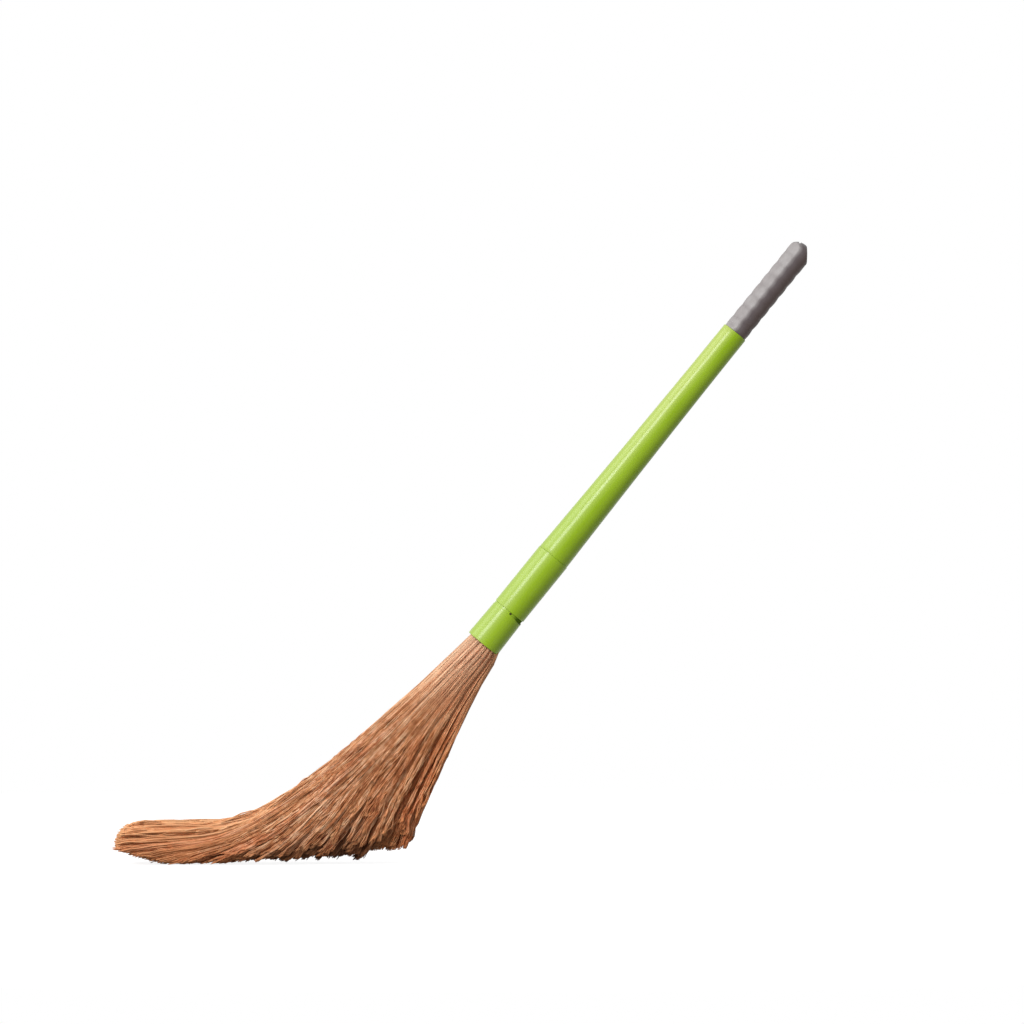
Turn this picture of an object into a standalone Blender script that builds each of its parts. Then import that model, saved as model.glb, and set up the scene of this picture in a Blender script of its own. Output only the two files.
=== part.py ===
# Yard broom: a fan of brown fibre in a green collar, a green sleeve and tube, and a grey hand grip.
# Units are metres. +X is where the handle leans, +Y points away from the viewer and +Z is up.
# The broom stands on z = 0, and the origin lies under the middle of its box.
# The handle's pieces are turned about a tilted axis, whose zero is the middle of the collar's mouth.

import math

import bmesh
import bpy
import numpy as np
from mathutils import Matrix, Vector

# Stance
lean_angle = math.radians(51.0)         # handle above the floor
mouth_height = 0.231                    # middle of the collar's mouth above the floor

# Fits and turning
fit_gap = 0.0003                        # clearance between pieces that touch
merge_distance = 0.00001
cut_overrun = 0.004                     # how far a cutter reaches past what it cuts
rim_chamfer = 0.0006
turn_steps = 32
hole_sides = 12

# Bristle collar
collar_length = 0.0413                  # mouth to rim
collar_mouth_radius = 0.0192
collar_rim_radius = 0.0184
mouth_bore_radius = 0.0178
mouth_flare_length = 0.014
chamber_radius = 0.0156
neck_radius = 0.0179                    # floor of the groove between rim and sleeve
groove_width = 0.0027
rim_dip = 0.0024                        # how far the rim falls away on the underside
neck_dip = 0.0008                       # how much deeper the groove is there
dip_start_angle = math.radians(22.0)    # from the front round towards the underside
dip_end_angle = math.radians(112.0)
collar_spigot_length = 0.026
collar_spigot_bore = 0.0142

# Coupling sleeve
sleeve_length = 0.0735
sleeve_radius = 0.0185
sleeve_wall = 0.0015

# Handle tube
tube_length = 0.2995
tube_foot_radius = 0.0181
tube_top_radius = 0.0140
tube_wall = 0.0018
tube_taper_power = 1.6
tube_rings = 9
tube_spigot_length = 0.028
tube_spigot_bore = 0.0144

# Grip
grip_length = 0.1202
grip_radius = 0.0132
grip_groove_depth = 0.00035
grip_ring_pitch = 0.012
grip_ring_count = 8
grip_lip_length = 0.006
grip_dome_height = 0.0096
grip_dome_rings = 6
grip_spigot_length = 0.030
grip_bore_radius = 0.0098
grip_bore_depth = 0.090                 # from the lower rim up
bevel_angle = math.radians(51.0)        # slanted cut against a plane square to the handle
bevel_offset = 0.0015                   # where the cut starts, beside the axis
notch_offset = 0.0064
notch_width = 0.0013
notch_depth = 0.0010

# Root blocks, stop plug, wire and pins
block_bottom = 0.016                    # inside the mouth
block_length = 0.014
wire_radius = 0.0005
wire_turns = 3
wire_pitch = 0.0017
wire_steps = 14                         # points a turn
plug_length = 0.0143
plug_dish_radius = 0.009
plug_dish_depth = 0.005
pin_radius = 0.0009
pin_length = 0.0060
pin_recess = 0.0003                     # pin head below the groove's floor
pin_angle = math.radians(8.6)           # front pin, from the front towards the underside

# Bristles
root_pitch = 0.00133
root_margin = 0.0002
root_bury = 0.004                       # length of a strand fused in its root block
strand_root_radius = 0.00042
strand_full_radius = 0.0016
strand_tip_radius = 0.0008
tuft_bands = 6
tail_reach = 0.389                      # tip of the tail ahead of the collar's mouth
heel_reach = 0.076
tail_thickness = 0.040
heel_lift = 0.016                       # shortest strands end above the floor
nose_setback = 0.024
half_depth_middle = 0.036               # front to back, at the tips
half_depth_ends = 0.021
floor_bite = 0.0005                     # bristles pressed flat by the floor
tail_departure = math.radians(43.5)     # angles below the horizontal at the root blocks
heel_departure = math.radians(60.5)
heel_arrival = math.radians(70.0)

# Shares across the fan, from the tail's upper side (0) to the heel (1), chosen by hand
nose_share = 0.18
tail_share = 0.30
heel_share = 0.70
start_handle_shares = (0.68, 0.40)      # first control arm of a strand, tail and heel
end_handle_shares = (0.30, 0.32)
reach_power = 1.30
tail_power = 1.15
arrival_power = 1.15
departure_power = 0.80
thickening_power = 2.2
strand_end_play_share = 0.050           # how much shorter than its path a strand may be
tuft_end_play_share = 0.018
free_tip_share = 0.45                   # strands of a tuft that keep their full length
step_shares = (                         # points along a strand, for strands up to the first share
    (0.20, (0.20, 0.42, 0.63, 0.82, 1.0)),
    (0.38, (0.27, 0.54, 0.79, 1.0)),
    (0.66, (0.38, 0.72, 1.0)),
    (1.00, (0.42, 1.0)),
)

# Places along the handle that follow from the sizes above
sleeve_bottom = collar_length + groove_width
sleeve_top = sleeve_bottom + sleeve_length
sleeve_bore = sleeve_radius - sleeve_wall
spigot_radius = sleeve_bore - fit_gap
tube_bottom = sleeve_top + fit_gap
tube_top = tube_bottom + tube_length
tube_top_bore = tube_top_radius - tube_wall
grip_bottom = tube_top + fit_gap
grip_top = grip_bottom + grip_length
block_top = block_bottom + block_length
block_radius = chamber_radius - 2 * fit_gap - 2 * wire_radius
plug_bottom = block_top + fit_gap
plug_top = plug_bottom + plug_length
chamber_top = plug_top + fit_gap
pin_height = collar_length + groove_width / 2

green = (0.355, 0.560, 0.055)
grey = (0.200, 0.180, 0.182)
brown = (0.480, 0.240, 0.135)


def clear_scene():
    for obj in list(bpy.data.objects):
        bpy.data.objects.remove(obj, do_unlink=True)


def new_collection(name):
    collection = bpy.data.collections.new(name)
    bpy.context.scene.collection.children.link(collection)
    return collection


def finish(name, colour, roughness, metallic=0.0):
    material = bpy.data.materials.new(name)
    material.use_nodes = True
    shader = material.node_tree.nodes["Principled BSDF"]
    shader.inputs["Base Color"].default_value = (*colour, 1.0)
    shader.inputs["Roughness"].default_value = roughness
    shader.inputs["Metallic"].default_value = metallic
    return material


def add_object(name, data, collection, parent, material=None):
    obj = bpy.data.objects.new(name, data)
    collection.objects.link(obj)
    obj.parent = parent
    if material is not None:
        obj.data.materials.append(material)
    if collection is cutters:
        obj.hide_render = True
        obj.display_type = "WIRE"
    return obj


def ease(share):
    share = min(max(share, 0.0), 1.0)
    return share * share * (3 - 2 * share)


# Turned and cut shapes

def turned(name, profile, material, closed=True):
    # The outline of (radius, height) points runs down its outer side, and back up its inner one.
    mesh = bpy.data.meshes.new(name)
    last = len(profile) if closed else len(profile) - 1
    edges = [(i, (i + 1) % len(profile)) for i in range(last)]
    mesh.from_pydata([(radius, 0, height) for radius, height in profile], edges, [])
    obj = add_object(name, mesh, broom, handle_axis)
    turn = obj.modifiers.new("turn", "SCREW")
    turn.steps = turn.render_steps = turn_steps
    turn.use_merge_vertices = True
    turn.merge_threshold = merge_distance
    bake(obj)
    obj.data.materials.append(material)
    return obj


def bake(obj):
    # Replaces an object's data by the mesh that its modifiers or its curve settings make.
    bpy.context.view_layer.update()
    graph = bpy.context.evaluated_depsgraph_get()
    mesh = bpy.data.meshes.new_from_object(obj.evaluated_get(graph))
    mesh.name = obj.name
    obj.modifiers.clear()
    obj.data = mesh
    mesh.shade_smooth()
    mesh.set_sharp_from_angle(angle=math.radians(30.0))


def cylinder_cutter(name, radius, length, matrix):
    mesh = bpy.data.meshes.new(name)
    shape = bmesh.new()
    bmesh.ops.create_cone(shape, cap_ends=True, segments=hole_sides,
                          radius1=radius, radius2=radius, depth=length)
    shape.to_mesh(mesh)
    shape.free()
    obj = add_object(name, mesh, cutters, handle_axis)
    obj.matrix_local = matrix
    return obj


def box_cutter(name, size, matrix, parent):
    mesh = bpy.data.meshes.new(name)
    shape = bmesh.new()
    bmesh.ops.create_cube(shape, size=1.0)
    bmesh.ops.scale(shape, vec=size, verts=shape.verts)
    shape.to_mesh(mesh)
    shape.free()
    obj = add_object(name, mesh, cutters, parent)
    obj.matrix_local = matrix
    return obj


def combine(obj, other, operation):
    step = obj.modifiers.new(other.name, "BOOLEAN")
    step.operation = operation
    step.solver = "EXACT"
    step.object = other


# Handle

def bristle_collar(material):
    mouth_rim = collar_mouth_radius - rim_chamfer
    neck_top = sleeve_bottom - fit_gap
    spigot_top = neck_top + collar_spigot_length
    flare_edge = mouth_bore_radius + rim_chamfer / 2
    profile = [
        (spigot_radius - rim_chamfer, spigot_top),
        (spigot_radius, spigot_top - rim_chamfer),
        (spigot_radius, neck_top),
        (neck_radius, neck_top),
        (neck_radius, collar_length),
        (collar_rim_radius - rim_chamfer / 2, collar_length),
        (collar_rim_radius, collar_length - rim_chamfer),
        (collar_mouth_radius, rim_chamfer),
        (mouth_rim, 0),
        (flare_edge, 0),
        (mouth_bore_radius, rim_chamfer),
        (chamber_radius, mouth_flare_length),
        (chamber_radius, chamber_top),
        (collar_spigot_bore, chamber_top),
        (collar_spigot_bore, spigot_top),
    ]
    obj = turned("bristle_collar", profile, material)
    dip_rim(obj.data)
    for pin_name, angle in pin_angles():
        combine(obj, pin_hole(pin_name + "_collar_hole", angle), "DIFFERENCE")
    return obj


def dip_rim(mesh):
    # On the underside the collar's rim falls away from the sleeve, and the groove is deeper.
    rim_zone = collar_length - rim_chamfer - fit_gap
    for vertex in mesh.vertices:
        x, y, z = vertex.co
        radius = math.hypot(x, y)
        if radius < spigot_radius + fit_gap or z < rim_zone:
            continue
        angle = math.atan2(x, -y)
        middle = (dip_start_angle + dip_end_angle) / 2
        reach = (dip_end_angle - dip_start_angle) / 2
        share = ease(1 - abs(angle - middle) / reach)
        if z < collar_length + fit_gap:
            vertex.co.z -= rim_dip * share
        if radius < neck_radius + fit_gap:
            vertex.co.x -= neck_dip * share * x / radius
            vertex.co.y -= neck_dip * share * y / radius


def coupling_sleeve(material):
    profile = [
        (sleeve_radius - rim_chamfer / 2, sleeve_top),
        (sleeve_radius, sleeve_top - rim_chamfer / 2),
        (sleeve_radius, sleeve_bottom + rim_chamfer / 2),
        (sleeve_radius - rim_chamfer / 2, sleeve_bottom),
        (sleeve_bore, sleeve_bottom),
        (sleeve_bore, sleeve_top),
    ]
    return turned("coupling_sleeve", profile, material)


def handle_tube(material):
    profile = [(tube_top_radius - rim_chamfer / 2, tube_top)]
    for ring in range(tube_rings + 1):
        share = ring / tube_rings
        radius = tube_top_radius + (tube_foot_radius - tube_top_radius) * share ** tube_taper_power
        profile.append((radius, tube_top - rim_chamfer / 2 - (tube_length - rim_chamfer) * share))
    spigot_bottom = tube_bottom - tube_spigot_length
    profile += [
        (tube_foot_radius - rim_chamfer / 2, tube_bottom),
        (spigot_radius, tube_bottom),
        (spigot_radius, spigot_bottom + rim_chamfer),
        (spigot_radius - rim_chamfer, spigot_bottom),
        (tube_spigot_bore, spigot_bottom),
        (tube_spigot_bore, tube_bottom),
        (tube_top_bore, tube_top - grip_spigot_length),
        (tube_top_bore, tube_top),
    ]
    return turned("handle_tube", profile, material)


def hand_grip(material):
    profile = []
    for ring in range(grip_dome_rings):
        turn = math.pi / 2 * ring / grip_dome_rings
        height = grip_top - grip_dome_height * (1 - math.cos(turn))
        profile.append((grip_radius * math.sin(turn), height))
    profile.append((grip_radius, grip_top - grip_dome_height))
    for ring in range(grip_ring_count, 0, -1):
        middle = grip_bottom + grip_lip_length + grip_ring_pitch * (ring - 0.5)
        profile.append((grip_radius - grip_groove_depth, middle + grip_ring_pitch / 2))
        profile.append((grip_radius, middle))
    grip_spigot = tube_top_bore - fit_gap
    spigot_bottom = grip_bottom - grip_spigot_length
    profile += [
        (grip_radius - grip_groove_depth, grip_bottom + grip_lip_length),
        (grip_radius, grip_bottom + rim_chamfer),
        (grip_radius - rim_chamfer, grip_bottom),
        (grip_spigot, grip_bottom),
        (grip_spigot, spigot_bottom + rim_chamfer),
        (grip_spigot - rim_chamfer, spigot_bottom),
        (grip_bore_radius, spigot_bottom),
        (grip_bore_radius, grip_bottom + grip_bore_depth),
        (0, grip_bottom + grip_bore_depth),
    ]
    obj = turned("grip", profile, material, closed=False)
    combine(obj, bevel_cutter(), "DIFFERENCE")
    combine(obj, notch_cutter(), "DIFFERENCE")
    return obj


def bevel_cutter():
    reach = 4 * grip_radius
    tilt = Matrix.Rotation(bevel_angle, 4, "Y")
    start = Matrix.Translation(Vector((bevel_offset, 0, grip_top)))
    outward = Matrix.Translation(Vector((0, 0, reach / 2)))
    return box_cutter("grip_bevel_cutter", (reach, reach, reach), start @ tilt @ outward, handle_axis)


def notch_cutter():
    drop = grip_dome_height * (1 - math.sqrt(1 - (notch_offset / grip_radius) ** 2))
    floor = grip_top - drop - notch_depth
    tall = notch_depth + drop + cut_overrun
    place = Matrix.Translation(Vector((-notch_offset, 0, floor + tall / 2)))
    return box_cutter("grip_notch_cutter", (notch_width, 4 * grip_radius, tall), place, handle_axis)


# Inside the collar

def pin_angles():
    return (("collar_pin_front", pin_angle), ("collar_pin_back", pin_angle + math.pi))


def pin_matrix(angle, radius):
    # Stands across the handle, pointing out at the angle from the front, centred at the radius.
    outward = Vector((math.sin(angle), -math.cos(angle), 0))
    turn = Vector((0, 0, 1)).rotation_difference(outward).to_matrix().to_4x4()
    return Matrix.Translation(outward * radius + Vector((0, 0, pin_height))) @ turn


def pin_hole(name, angle):
    inner_end = neck_radius - pin_recess - pin_length - fit_gap
    outer_end = neck_radius + cut_overrun
    matrix = pin_matrix(angle, (inner_end + outer_end) / 2)
    return cylinder_cutter(name, pin_radius + fit_gap, outer_end - inner_end, matrix)


def collar_pin(name, angle, material):
    mesh = bpy.data.meshes.new(name)
    shape = bmesh.new()
    bmesh.ops.create_cone(shape, cap_ends=True, segments=hole_sides,
                          radius1=pin_radius, radius2=pin_radius, depth=pin_length)
    shape.to_mesh(mesh)
    shape.free()
    obj = add_object(name, mesh, broom, handle_axis, material)
    obj.matrix_local = pin_matrix(angle, neck_radius - pin_recess - pin_length / 2)
    return obj


def stop_plug(material):
    radius = chamber_radius - fit_gap
    profile = [
        (0, plug_top - plug_dish_depth),
        (plug_dish_radius, plug_top - plug_dish_depth),
        (plug_dish_radius, plug_top),
        (radius - rim_chamfer, plug_top),
        (radius, plug_top - rim_chamfer),
        (radius, plug_bottom + rim_chamfer),
        (radius - rim_chamfer, plug_bottom),
        (0, plug_bottom),
    ]
    obj = turned("stop_plug", profile, material, closed=False)
    for pin_name, angle in pin_angles():
        combine(obj, pin_hole(pin_name + "_plug_hole", angle), "DIFFERENCE")
    return obj


def binding_wire(material):
    radius = block_radius + fit_gap + wire_radius
    count = wire_turns * wire_steps + 1
    middle = (block_bottom + block_top) / 2
    curve = bpy.data.curves.new("binding_wire", "CURVE")
    curve.dimensions = "3D"
    curve.bevel_depth = wire_radius
    curve.bevel_resolution = 1
    curve.use_fill_caps = True
    spline = curve.splines.new("POLY")
    spline.points.add(count - 1)
    for index, point in enumerate(spline.points):
        turns = index / wire_steps
        angle = 2 * math.pi * turns
        height = middle + wire_pitch * (turns - wire_turns / 2)
        point.co = (radius * math.cos(angle), radius * math.sin(angle), height, 1.0)
    obj = add_object("binding_wire", curve, broom, handle_axis)
    return curve_to_mesh(obj, broom, material)


def curve_to_mesh(obj, collection, material=None):
    # A curve's caps are loose, so the mesh that takes its place has its doubles merged.
    bpy.context.view_layer.update()
    name, parent, matrix = obj.name, obj.parent, obj.matrix_world.copy()
    graph = bpy.context.evaluated_depsgraph_get()
    mesh = bpy.data.meshes.new_from_object(obj.evaluated_get(graph))
    bpy.data.objects.remove(obj, do_unlink=True)
    shape = bmesh.new()
    shape.from_mesh(mesh)
    bmesh.ops.remove_doubles(shape, verts=shape.verts, dist=merge_distance)
    bmesh.ops.recalc_face_normals(shape, faces=shape.faces)
    shape.to_mesh(mesh)
    shape.free()
    mesh.materials.clear()
    mesh.shade_smooth()
    mesh.set_sharp_from_angle(angle=math.radians(50.0))
    solid = add_object(name, mesh, collection, parent, material)
    solid.matrix_world = matrix
    return solid


# Bristles

def root_rows():
    # Rows of strand roots on the face of the root blocks. Odd rows stand half a pitch further out
    # on both sides of the middle plane, which stays free for the split between front and back.
    field_radius = block_radius - strand_root_radius - root_margin
    row_count = int(2 * field_radius / root_pitch)
    rows = []
    for row in range(row_count):
        across = (row - (row_count - 1) / 2) * root_pitch
        half_width = math.sqrt(field_radius ** 2 - across ** 2)
        first = root_pitch / 2 if row % 2 == 0 else root_pitch
        count = int((half_width - first) / root_pitch) + 1
        rows.append((across, half_width, [first + root_pitch * i for i in range(count)]))
    return rows


def band_rows(rows):
    # Shares the rows out over the bands, so that each has about as many strands.
    total = sum(len(depths) for _, _, depths in rows)
    bands = [[] for _ in range(tuft_bands)]
    passed = 0
    for row in rows:
        band = int(tuft_bands * (passed + len(row[2]) / 2) / total)
        bands[band].append(row)
        passed += len(row[2])
    return bands


def strand_control(across):
    # Cubic curve in the plane of the lean: root, two arms and tip, as (x, z) under the mouth.
    field_radius = block_radius - strand_root_radius - root_margin
    side = np.array((math.sin(lean_angle), -math.cos(lean_angle)))
    along = np.array((math.cos(lean_angle), math.sin(lean_angle)))
    share = min(max(0.5 + across / (2 * field_radius), 0.0), 1.0)
    root = np.array((0, mouth_height)) + across * side + block_bottom * along
    departure = tail_departure + (heel_departure - tail_departure) * share ** departure_power
    arrival = heel_arrival * share ** arrival_power
    inner = min(max((share - nose_share) / (1 - nose_share), 0.0), 1.0)
    nose = max(1 - share / nose_share, 0.0)
    reach = heel_reach + (tail_reach - heel_reach) * (1 - inner) ** reach_power
    tail = max(1 - share / tail_share, 0.0)
    heel = ease((share - heel_share) / (1 - heel_share))
    tip = np.array((nose_setback * nose ** 2 - reach,
                    tail_thickness * tail ** tail_power + heel_lift * heel - floor_bite))
    chord = np.linalg.norm(tip - root)
    first = start_handle_shares[0] + (start_handle_shares[1] - start_handle_shares[0]) * share
    last = end_handle_shares[0] + (end_handle_shares[1] - end_handle_shares[0]) * share
    first_arm = root - chord * first * np.array((math.cos(departure), math.sin(departure)))
    last_arm = tip + chord * last * np.array((math.cos(arrival), math.sin(arrival)))
    return root, first_arm, last_arm, tip


def strand_path(across, depth, half_width, end_share):
    # Points and radii of one strand, from inside its root block to its tip.
    root, first_arm, last_arm, tip = strand_control(across)
    field_radius = block_radius - strand_root_radius - root_margin
    share = 0.5 + across / (2 * field_radius)
    steps = next(steps for limit, steps in step_shares if share <= limit)
    bulge = math.sqrt(max(1 - (2 * share - 1) ** 2, 0.0))
    tip_half_depth = half_depth_ends + (half_depth_middle - half_depth_ends) * bulge
    tip_depth = depth / half_width * tip_half_depth
    start_direction = (root - first_arm) / np.linalg.norm(root - first_arm)
    buried = root + root_bury * start_direction
    points = [(buried[0], depth, buried[1])]
    radii = [strand_root_radius]
    for step in steps:
        s = step * end_share
        place = ((1 - s) ** 3 * root + 3 * (1 - s) ** 2 * s * first_arm
                 + 3 * (1 - s) * s ** 2 * last_arm + s ** 3 * tip)
        points.append((place[0], depth + (tip_depth - depth) * s, place[1]))
        growth = (strand_full_radius - strand_root_radius) * s ** thickening_power
        radii.append(strand_root_radius + growth)
    radii[-1] = strand_tip_radius
    return points, radii


def strand_section():
    # A triangle of unit size, which each strand point's radius scales.
    curve = bpy.data.curves.new("strand_section", "CURVE")
    curve.dimensions = "2D"
    spline = curve.splines.new("POLY")
    spline.points.add(2)
    spline.use_cyclic_u = True
    for index, point in enumerate(spline.points):
        angle = 2 * math.pi * index / 3
        point.co = (math.cos(angle), math.sin(angle), 0, 1.0)
    return add_object("strand_section", curve, cutters, stand)


def strand_bundle(name, paths, section):
    curve = bpy.data.curves.new(name, "CURVE")
    curve.dimensions = "3D"
    curve.bevel_mode = "OBJECT"
    curve.bevel_object = section
    curve.use_fill_caps = True
    for points, radii in paths:
        spline = curve.splines.new("POLY")
        spline.points.add(len(points) - 1)
        for point, place, radius in zip(spline.points, points, radii):
            point.co = (*place, 1.0)
            point.radius = radius
    return curve_to_mesh(add_object(name, curve, cutters, stand), cutters)


def root_block(name, low, high, front, material):
    # A slice of the round root block, between two rows and on one side of the middle plane.
    mesh = bpy.data.meshes.new(name)
    shape = bmesh.new()
    bmesh.ops.create_cone(shape, cap_ends=True, segments=turn_steps, radius1=block_radius,
                          radius2=block_radius, depth=block_length)
    bmesh.ops.translate(shape, verts=shape.verts, vec=(0, 0, block_bottom + block_length / 2))
    shape.to_mesh(mesh)
    shape.free()
    obj = add_object(name, mesh, broom, handle_axis, material)
    reach = block_radius + cut_overrun
    near, far = (-reach, -fit_gap / 2) if front else (fit_gap / 2, reach)
    size = (high - low, far - near, block_length + 2 * cut_overrun)
    middle = Vector(((low + high) / 2, (near + far) / 2, block_bottom + block_length / 2))
    keeper = box_cutter(name + "_slice", size, Matrix.Translation(middle), handle_axis)
    combine(obj, keeper, "INTERSECT")
    return obj


def bristle_tufts(material):
    random = np.random.default_rng(11)
    section = strand_section()
    floor = floor_cutter()
    bands = band_rows(root_rows())
    edge = block_radius + cut_overrun
    number = 0
    strands = 0
    for index, band in enumerate(bands):
        low = -edge if index == 0 else band[0][0] - (root_pitch - fit_gap) / 2
        high = edge if index == tuft_bands - 1 else band[-1][0] + (root_pitch - fit_gap) / 2
        for front in (True, False):
            number += 1
            name = f"bristle_tuft_{number:02d}"
            tuft_setback = tuft_end_play_share * random.random()
            paths = []
            for across, half_width, depths in band:
                for depth in depths:
                    signed = -depth if front else depth
                    setback = tuft_setback + strand_end_play_share * (random.random() - free_tip_share)
                    end_share = 1 - max(setback, 0.0)
                    paths.append(strand_path(across, signed, half_width, end_share))
            strands += len(paths)
            obj = root_block(name, low, high, front, material)
            combine(obj, strand_bundle(name + "_strands", paths, section), "UNION")
            combine(obj, floor, "DIFFERENCE")
    print("strands", strands)


def floor_cutter():
    reach = 4 * (tail_reach + mouth_height)
    place = Matrix.Translation(Vector((0, 0, -reach / 2)))
    return box_cutter("floor_cutter", (reach, reach, reach), place, stand)


# Assembly

def centre_over_origin():
    bpy.context.view_layer.update()
    graph = bpy.context.evaluated_depsgraph_get()
    corners = []
    for obj in broom.objects:
        if obj.type != "MESH":
            continue
        solid = obj.evaluated_get(graph)
        corners += [obj.matrix_world @ vertex.co for vertex in solid.data.vertices]
    for axis in range(2):
        values = [corner[axis] for corner in corners]
        stand.location[axis] = -(min(values) + max(values)) / 2


clear_scene()
broom = new_collection("yard_broom")
cutters = new_collection("cutters")

stand = bpy.data.objects.new("stand", None)
broom.objects.link(stand)
handle_axis = bpy.data.objects.new("handle_axis", None)
broom.objects.link(handle_axis)
handle_axis.parent = stand
handle_axis.location = (0, 0, mouth_height)
handle_axis.rotation_euler = (0, math.pi / 2 - lean_angle, 0)

bristle_collar(finish("green_collar_plastic", green, 0.30))
coupling_sleeve(finish("green_sleeve_plastic", green, 0.30))
handle_tube(finish("green_tube_plastic", green, 0.28))
hand_grip(finish("grey_grip_plastic", grey, 0.60))
stop_plug(finish("plug_plastic", (0.28, 0.44, 0.05), 0.50))
binding_wire(finish("galvanised_wire", (0.45, 0.44, 0.42), 0.40, 1.0))
for pin_name, angle in pin_angles():
    collar_pin(pin_name, angle, finish(pin_name + "_steel", (0.20, 0.19, 0.18), 0.45, 1.0))
bristle_tufts(finish("brown_fibre", brown, 0.75))
centre_over_origin()
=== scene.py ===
# Yard broom, dressed for its portrait: fibre fan, green collar, sleeve and tube, grey hand grip.
# Metres throughout. +X is where the handle leans, +Y points away from the viewer, +Z is up.
import math
from types import SimpleNamespace

import bmesh
import bpy
import numpy as np
from mathutils import Matrix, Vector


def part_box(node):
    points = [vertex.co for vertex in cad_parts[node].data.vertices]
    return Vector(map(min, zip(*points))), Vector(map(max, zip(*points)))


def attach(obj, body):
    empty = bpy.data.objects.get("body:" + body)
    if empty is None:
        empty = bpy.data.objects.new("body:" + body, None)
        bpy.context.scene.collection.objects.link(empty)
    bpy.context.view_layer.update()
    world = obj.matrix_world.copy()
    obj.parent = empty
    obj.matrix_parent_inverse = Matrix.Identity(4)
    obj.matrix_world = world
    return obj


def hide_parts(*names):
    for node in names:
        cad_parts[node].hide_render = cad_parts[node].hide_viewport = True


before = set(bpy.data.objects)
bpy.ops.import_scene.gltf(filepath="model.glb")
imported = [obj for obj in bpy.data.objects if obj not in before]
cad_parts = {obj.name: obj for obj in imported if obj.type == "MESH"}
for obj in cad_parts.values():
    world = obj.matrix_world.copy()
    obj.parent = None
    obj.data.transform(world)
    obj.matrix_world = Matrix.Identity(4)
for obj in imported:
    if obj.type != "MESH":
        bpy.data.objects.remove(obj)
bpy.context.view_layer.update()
print("loaded", len(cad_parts), "solids")

stance = {
    "lean": math.radians(51.0),  # handle above the floor
    "mouthHeight": 0.231,  # collar's mouth above the floor
    "sleeveMiddle": 0.08075,  # middle of the sleeve above the mouth, along the handle
    "mergeGap": 0.00001,
    "sharpAngle": math.radians(34.0),
    "turnSteps": 160,  # of each turned piece
}

# The handle's own directions: up the handle, its underside, and its front, which faces the viewer.
upHandle = np.array((math.cos(stance["lean"]), 0.0, math.sin(stance["lean"])))
underside = np.array((math.sin(stance["lean"]), 0.0, -math.cos(stance["lean"])))
frontSide = np.array((0.0, -1.0, 0.0))
sleeveLow, sleeveHigh = (np.array(corner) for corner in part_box("coupling_sleeve"))
mouth = (sleeveLow + sleeveHigh) / 2 - stance["sleeveMiddle"] * upHandle
foot = np.array((mouth[0], mouth[1], 0.0))  # floor point under the mouth


def ease(share):
    # Smooth step: 3 s^2 - 2 s^3 of a share held between 0 and 1.
    share = np.clip(share, 0.0, 1.0)
    return share * share * (3 - 2 * share)


def unit(vectors):
    return vectors / np.linalg.norm(vectors, axis=-1, keepdims=True)


def onHandle(radius, angle, height):
    # mouth + height up the handle + radius * (cos angle to the front + sin angle to the underside)
    radius, angle, height = np.broadcast_arrays(radius, angle, height)
    across = radius * np.sin(angle)
    toward = radius * np.cos(angle)
    return (mouth + height[..., None] * upHandle + across[..., None] * underside
            + toward[..., None] * frontSide)


# Mesh making

def newMesh(name, points, quads, triangles, bakeMap):
    # Puts whole arrays into a mesh: points (n, 3), quads (m, 4), triangles (k, 3), and a map value
    # for each corner in the same order.
    counts = np.repeat((4, 3), (len(quads), len(triangles)))
    corners = np.concatenate((quads.ravel(), triangles.ravel()))
    mesh = bpy.data.meshes.new(name)
    mesh.vertices.add(len(points))
    mesh.vertices.foreach_set("co", points.astype(np.float32).ravel())
    mesh.loops.add(len(corners))
    mesh.loops.foreach_set("vertex_index", corners.astype(np.int32))
    mesh.polygons.add(len(counts))
    mesh.polygons.foreach_set("loop_start", (np.cumsum(counts) - counts).astype(np.int32))
    mesh.polygons.foreach_set("use_smooth", np.ones(len(counts), dtype=bool))
    layer = mesh.uv_layers.new(name="OFBake")
    layer.uv.foreach_set("vector", bakeMap.astype(np.float32).ravel())
    mesh.update(calc_edges=True)
    mesh.validate()
    return mesh


def addObject(name, data):
    thing = bpy.data.objects.new(name, data)
    bpy.context.scene.collection.objects.link(thing)
    return thing


def addPiece(name, mesh, material, nodes):
    piece = addObject(name, mesh)
    mesh.materials.clear()
    mesh.materials.append(material)
    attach(piece, "root")
    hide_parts(*nodes)
    return piece


def roundedOutline(corners, steps=5):
    # Outline of (radius, height, rounding): each corner with a rounding becomes a quadratic curve
    # between points that far along its two sides, (1-t)^2 a + 2 (1-t) t corner + t^2 b.
    outline = []
    for index, (radius, height, rounding) in enumerate(corners):
        corner = np.array((radius, height))
        if rounding == 0:
            outline.append(corner)
            continue
        before = np.array(corners[index - 1][:2]) - corner
        after = np.array(corners[(index + 1) % len(corners)][:2]) - corner
        start = corner + before / np.linalg.norm(before) * rounding
        end = corner + after / np.linalg.norm(after) * rounding
        t = np.linspace(0, 1, steps)[:, None]
        outline.extend((1 - t) ** 2 * start + 2 * (1 - t) * t * corner + t ** 2 * end)
    return np.array(outline)


def turns(steps=stance["turnSteps"]):
    return np.linspace(0, 2 * np.pi, steps, endpoint=False)[None, :]


def ringQuads(rings, sides, closed=False):
    # Quads from ring i to the next and from side j to the next, of points numbered i * sides + j.
    i, j = np.divmod(np.arange((rings if closed else rings - 1) * sides), sides)
    iNext, jNext = (i + 1) % rings, (j + 1) % sides
    return i, j, np.stack((i * sides + j, iNext * sides + j, iNext * sides + jNext,
                           i * sides + jNext), axis=1)


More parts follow.
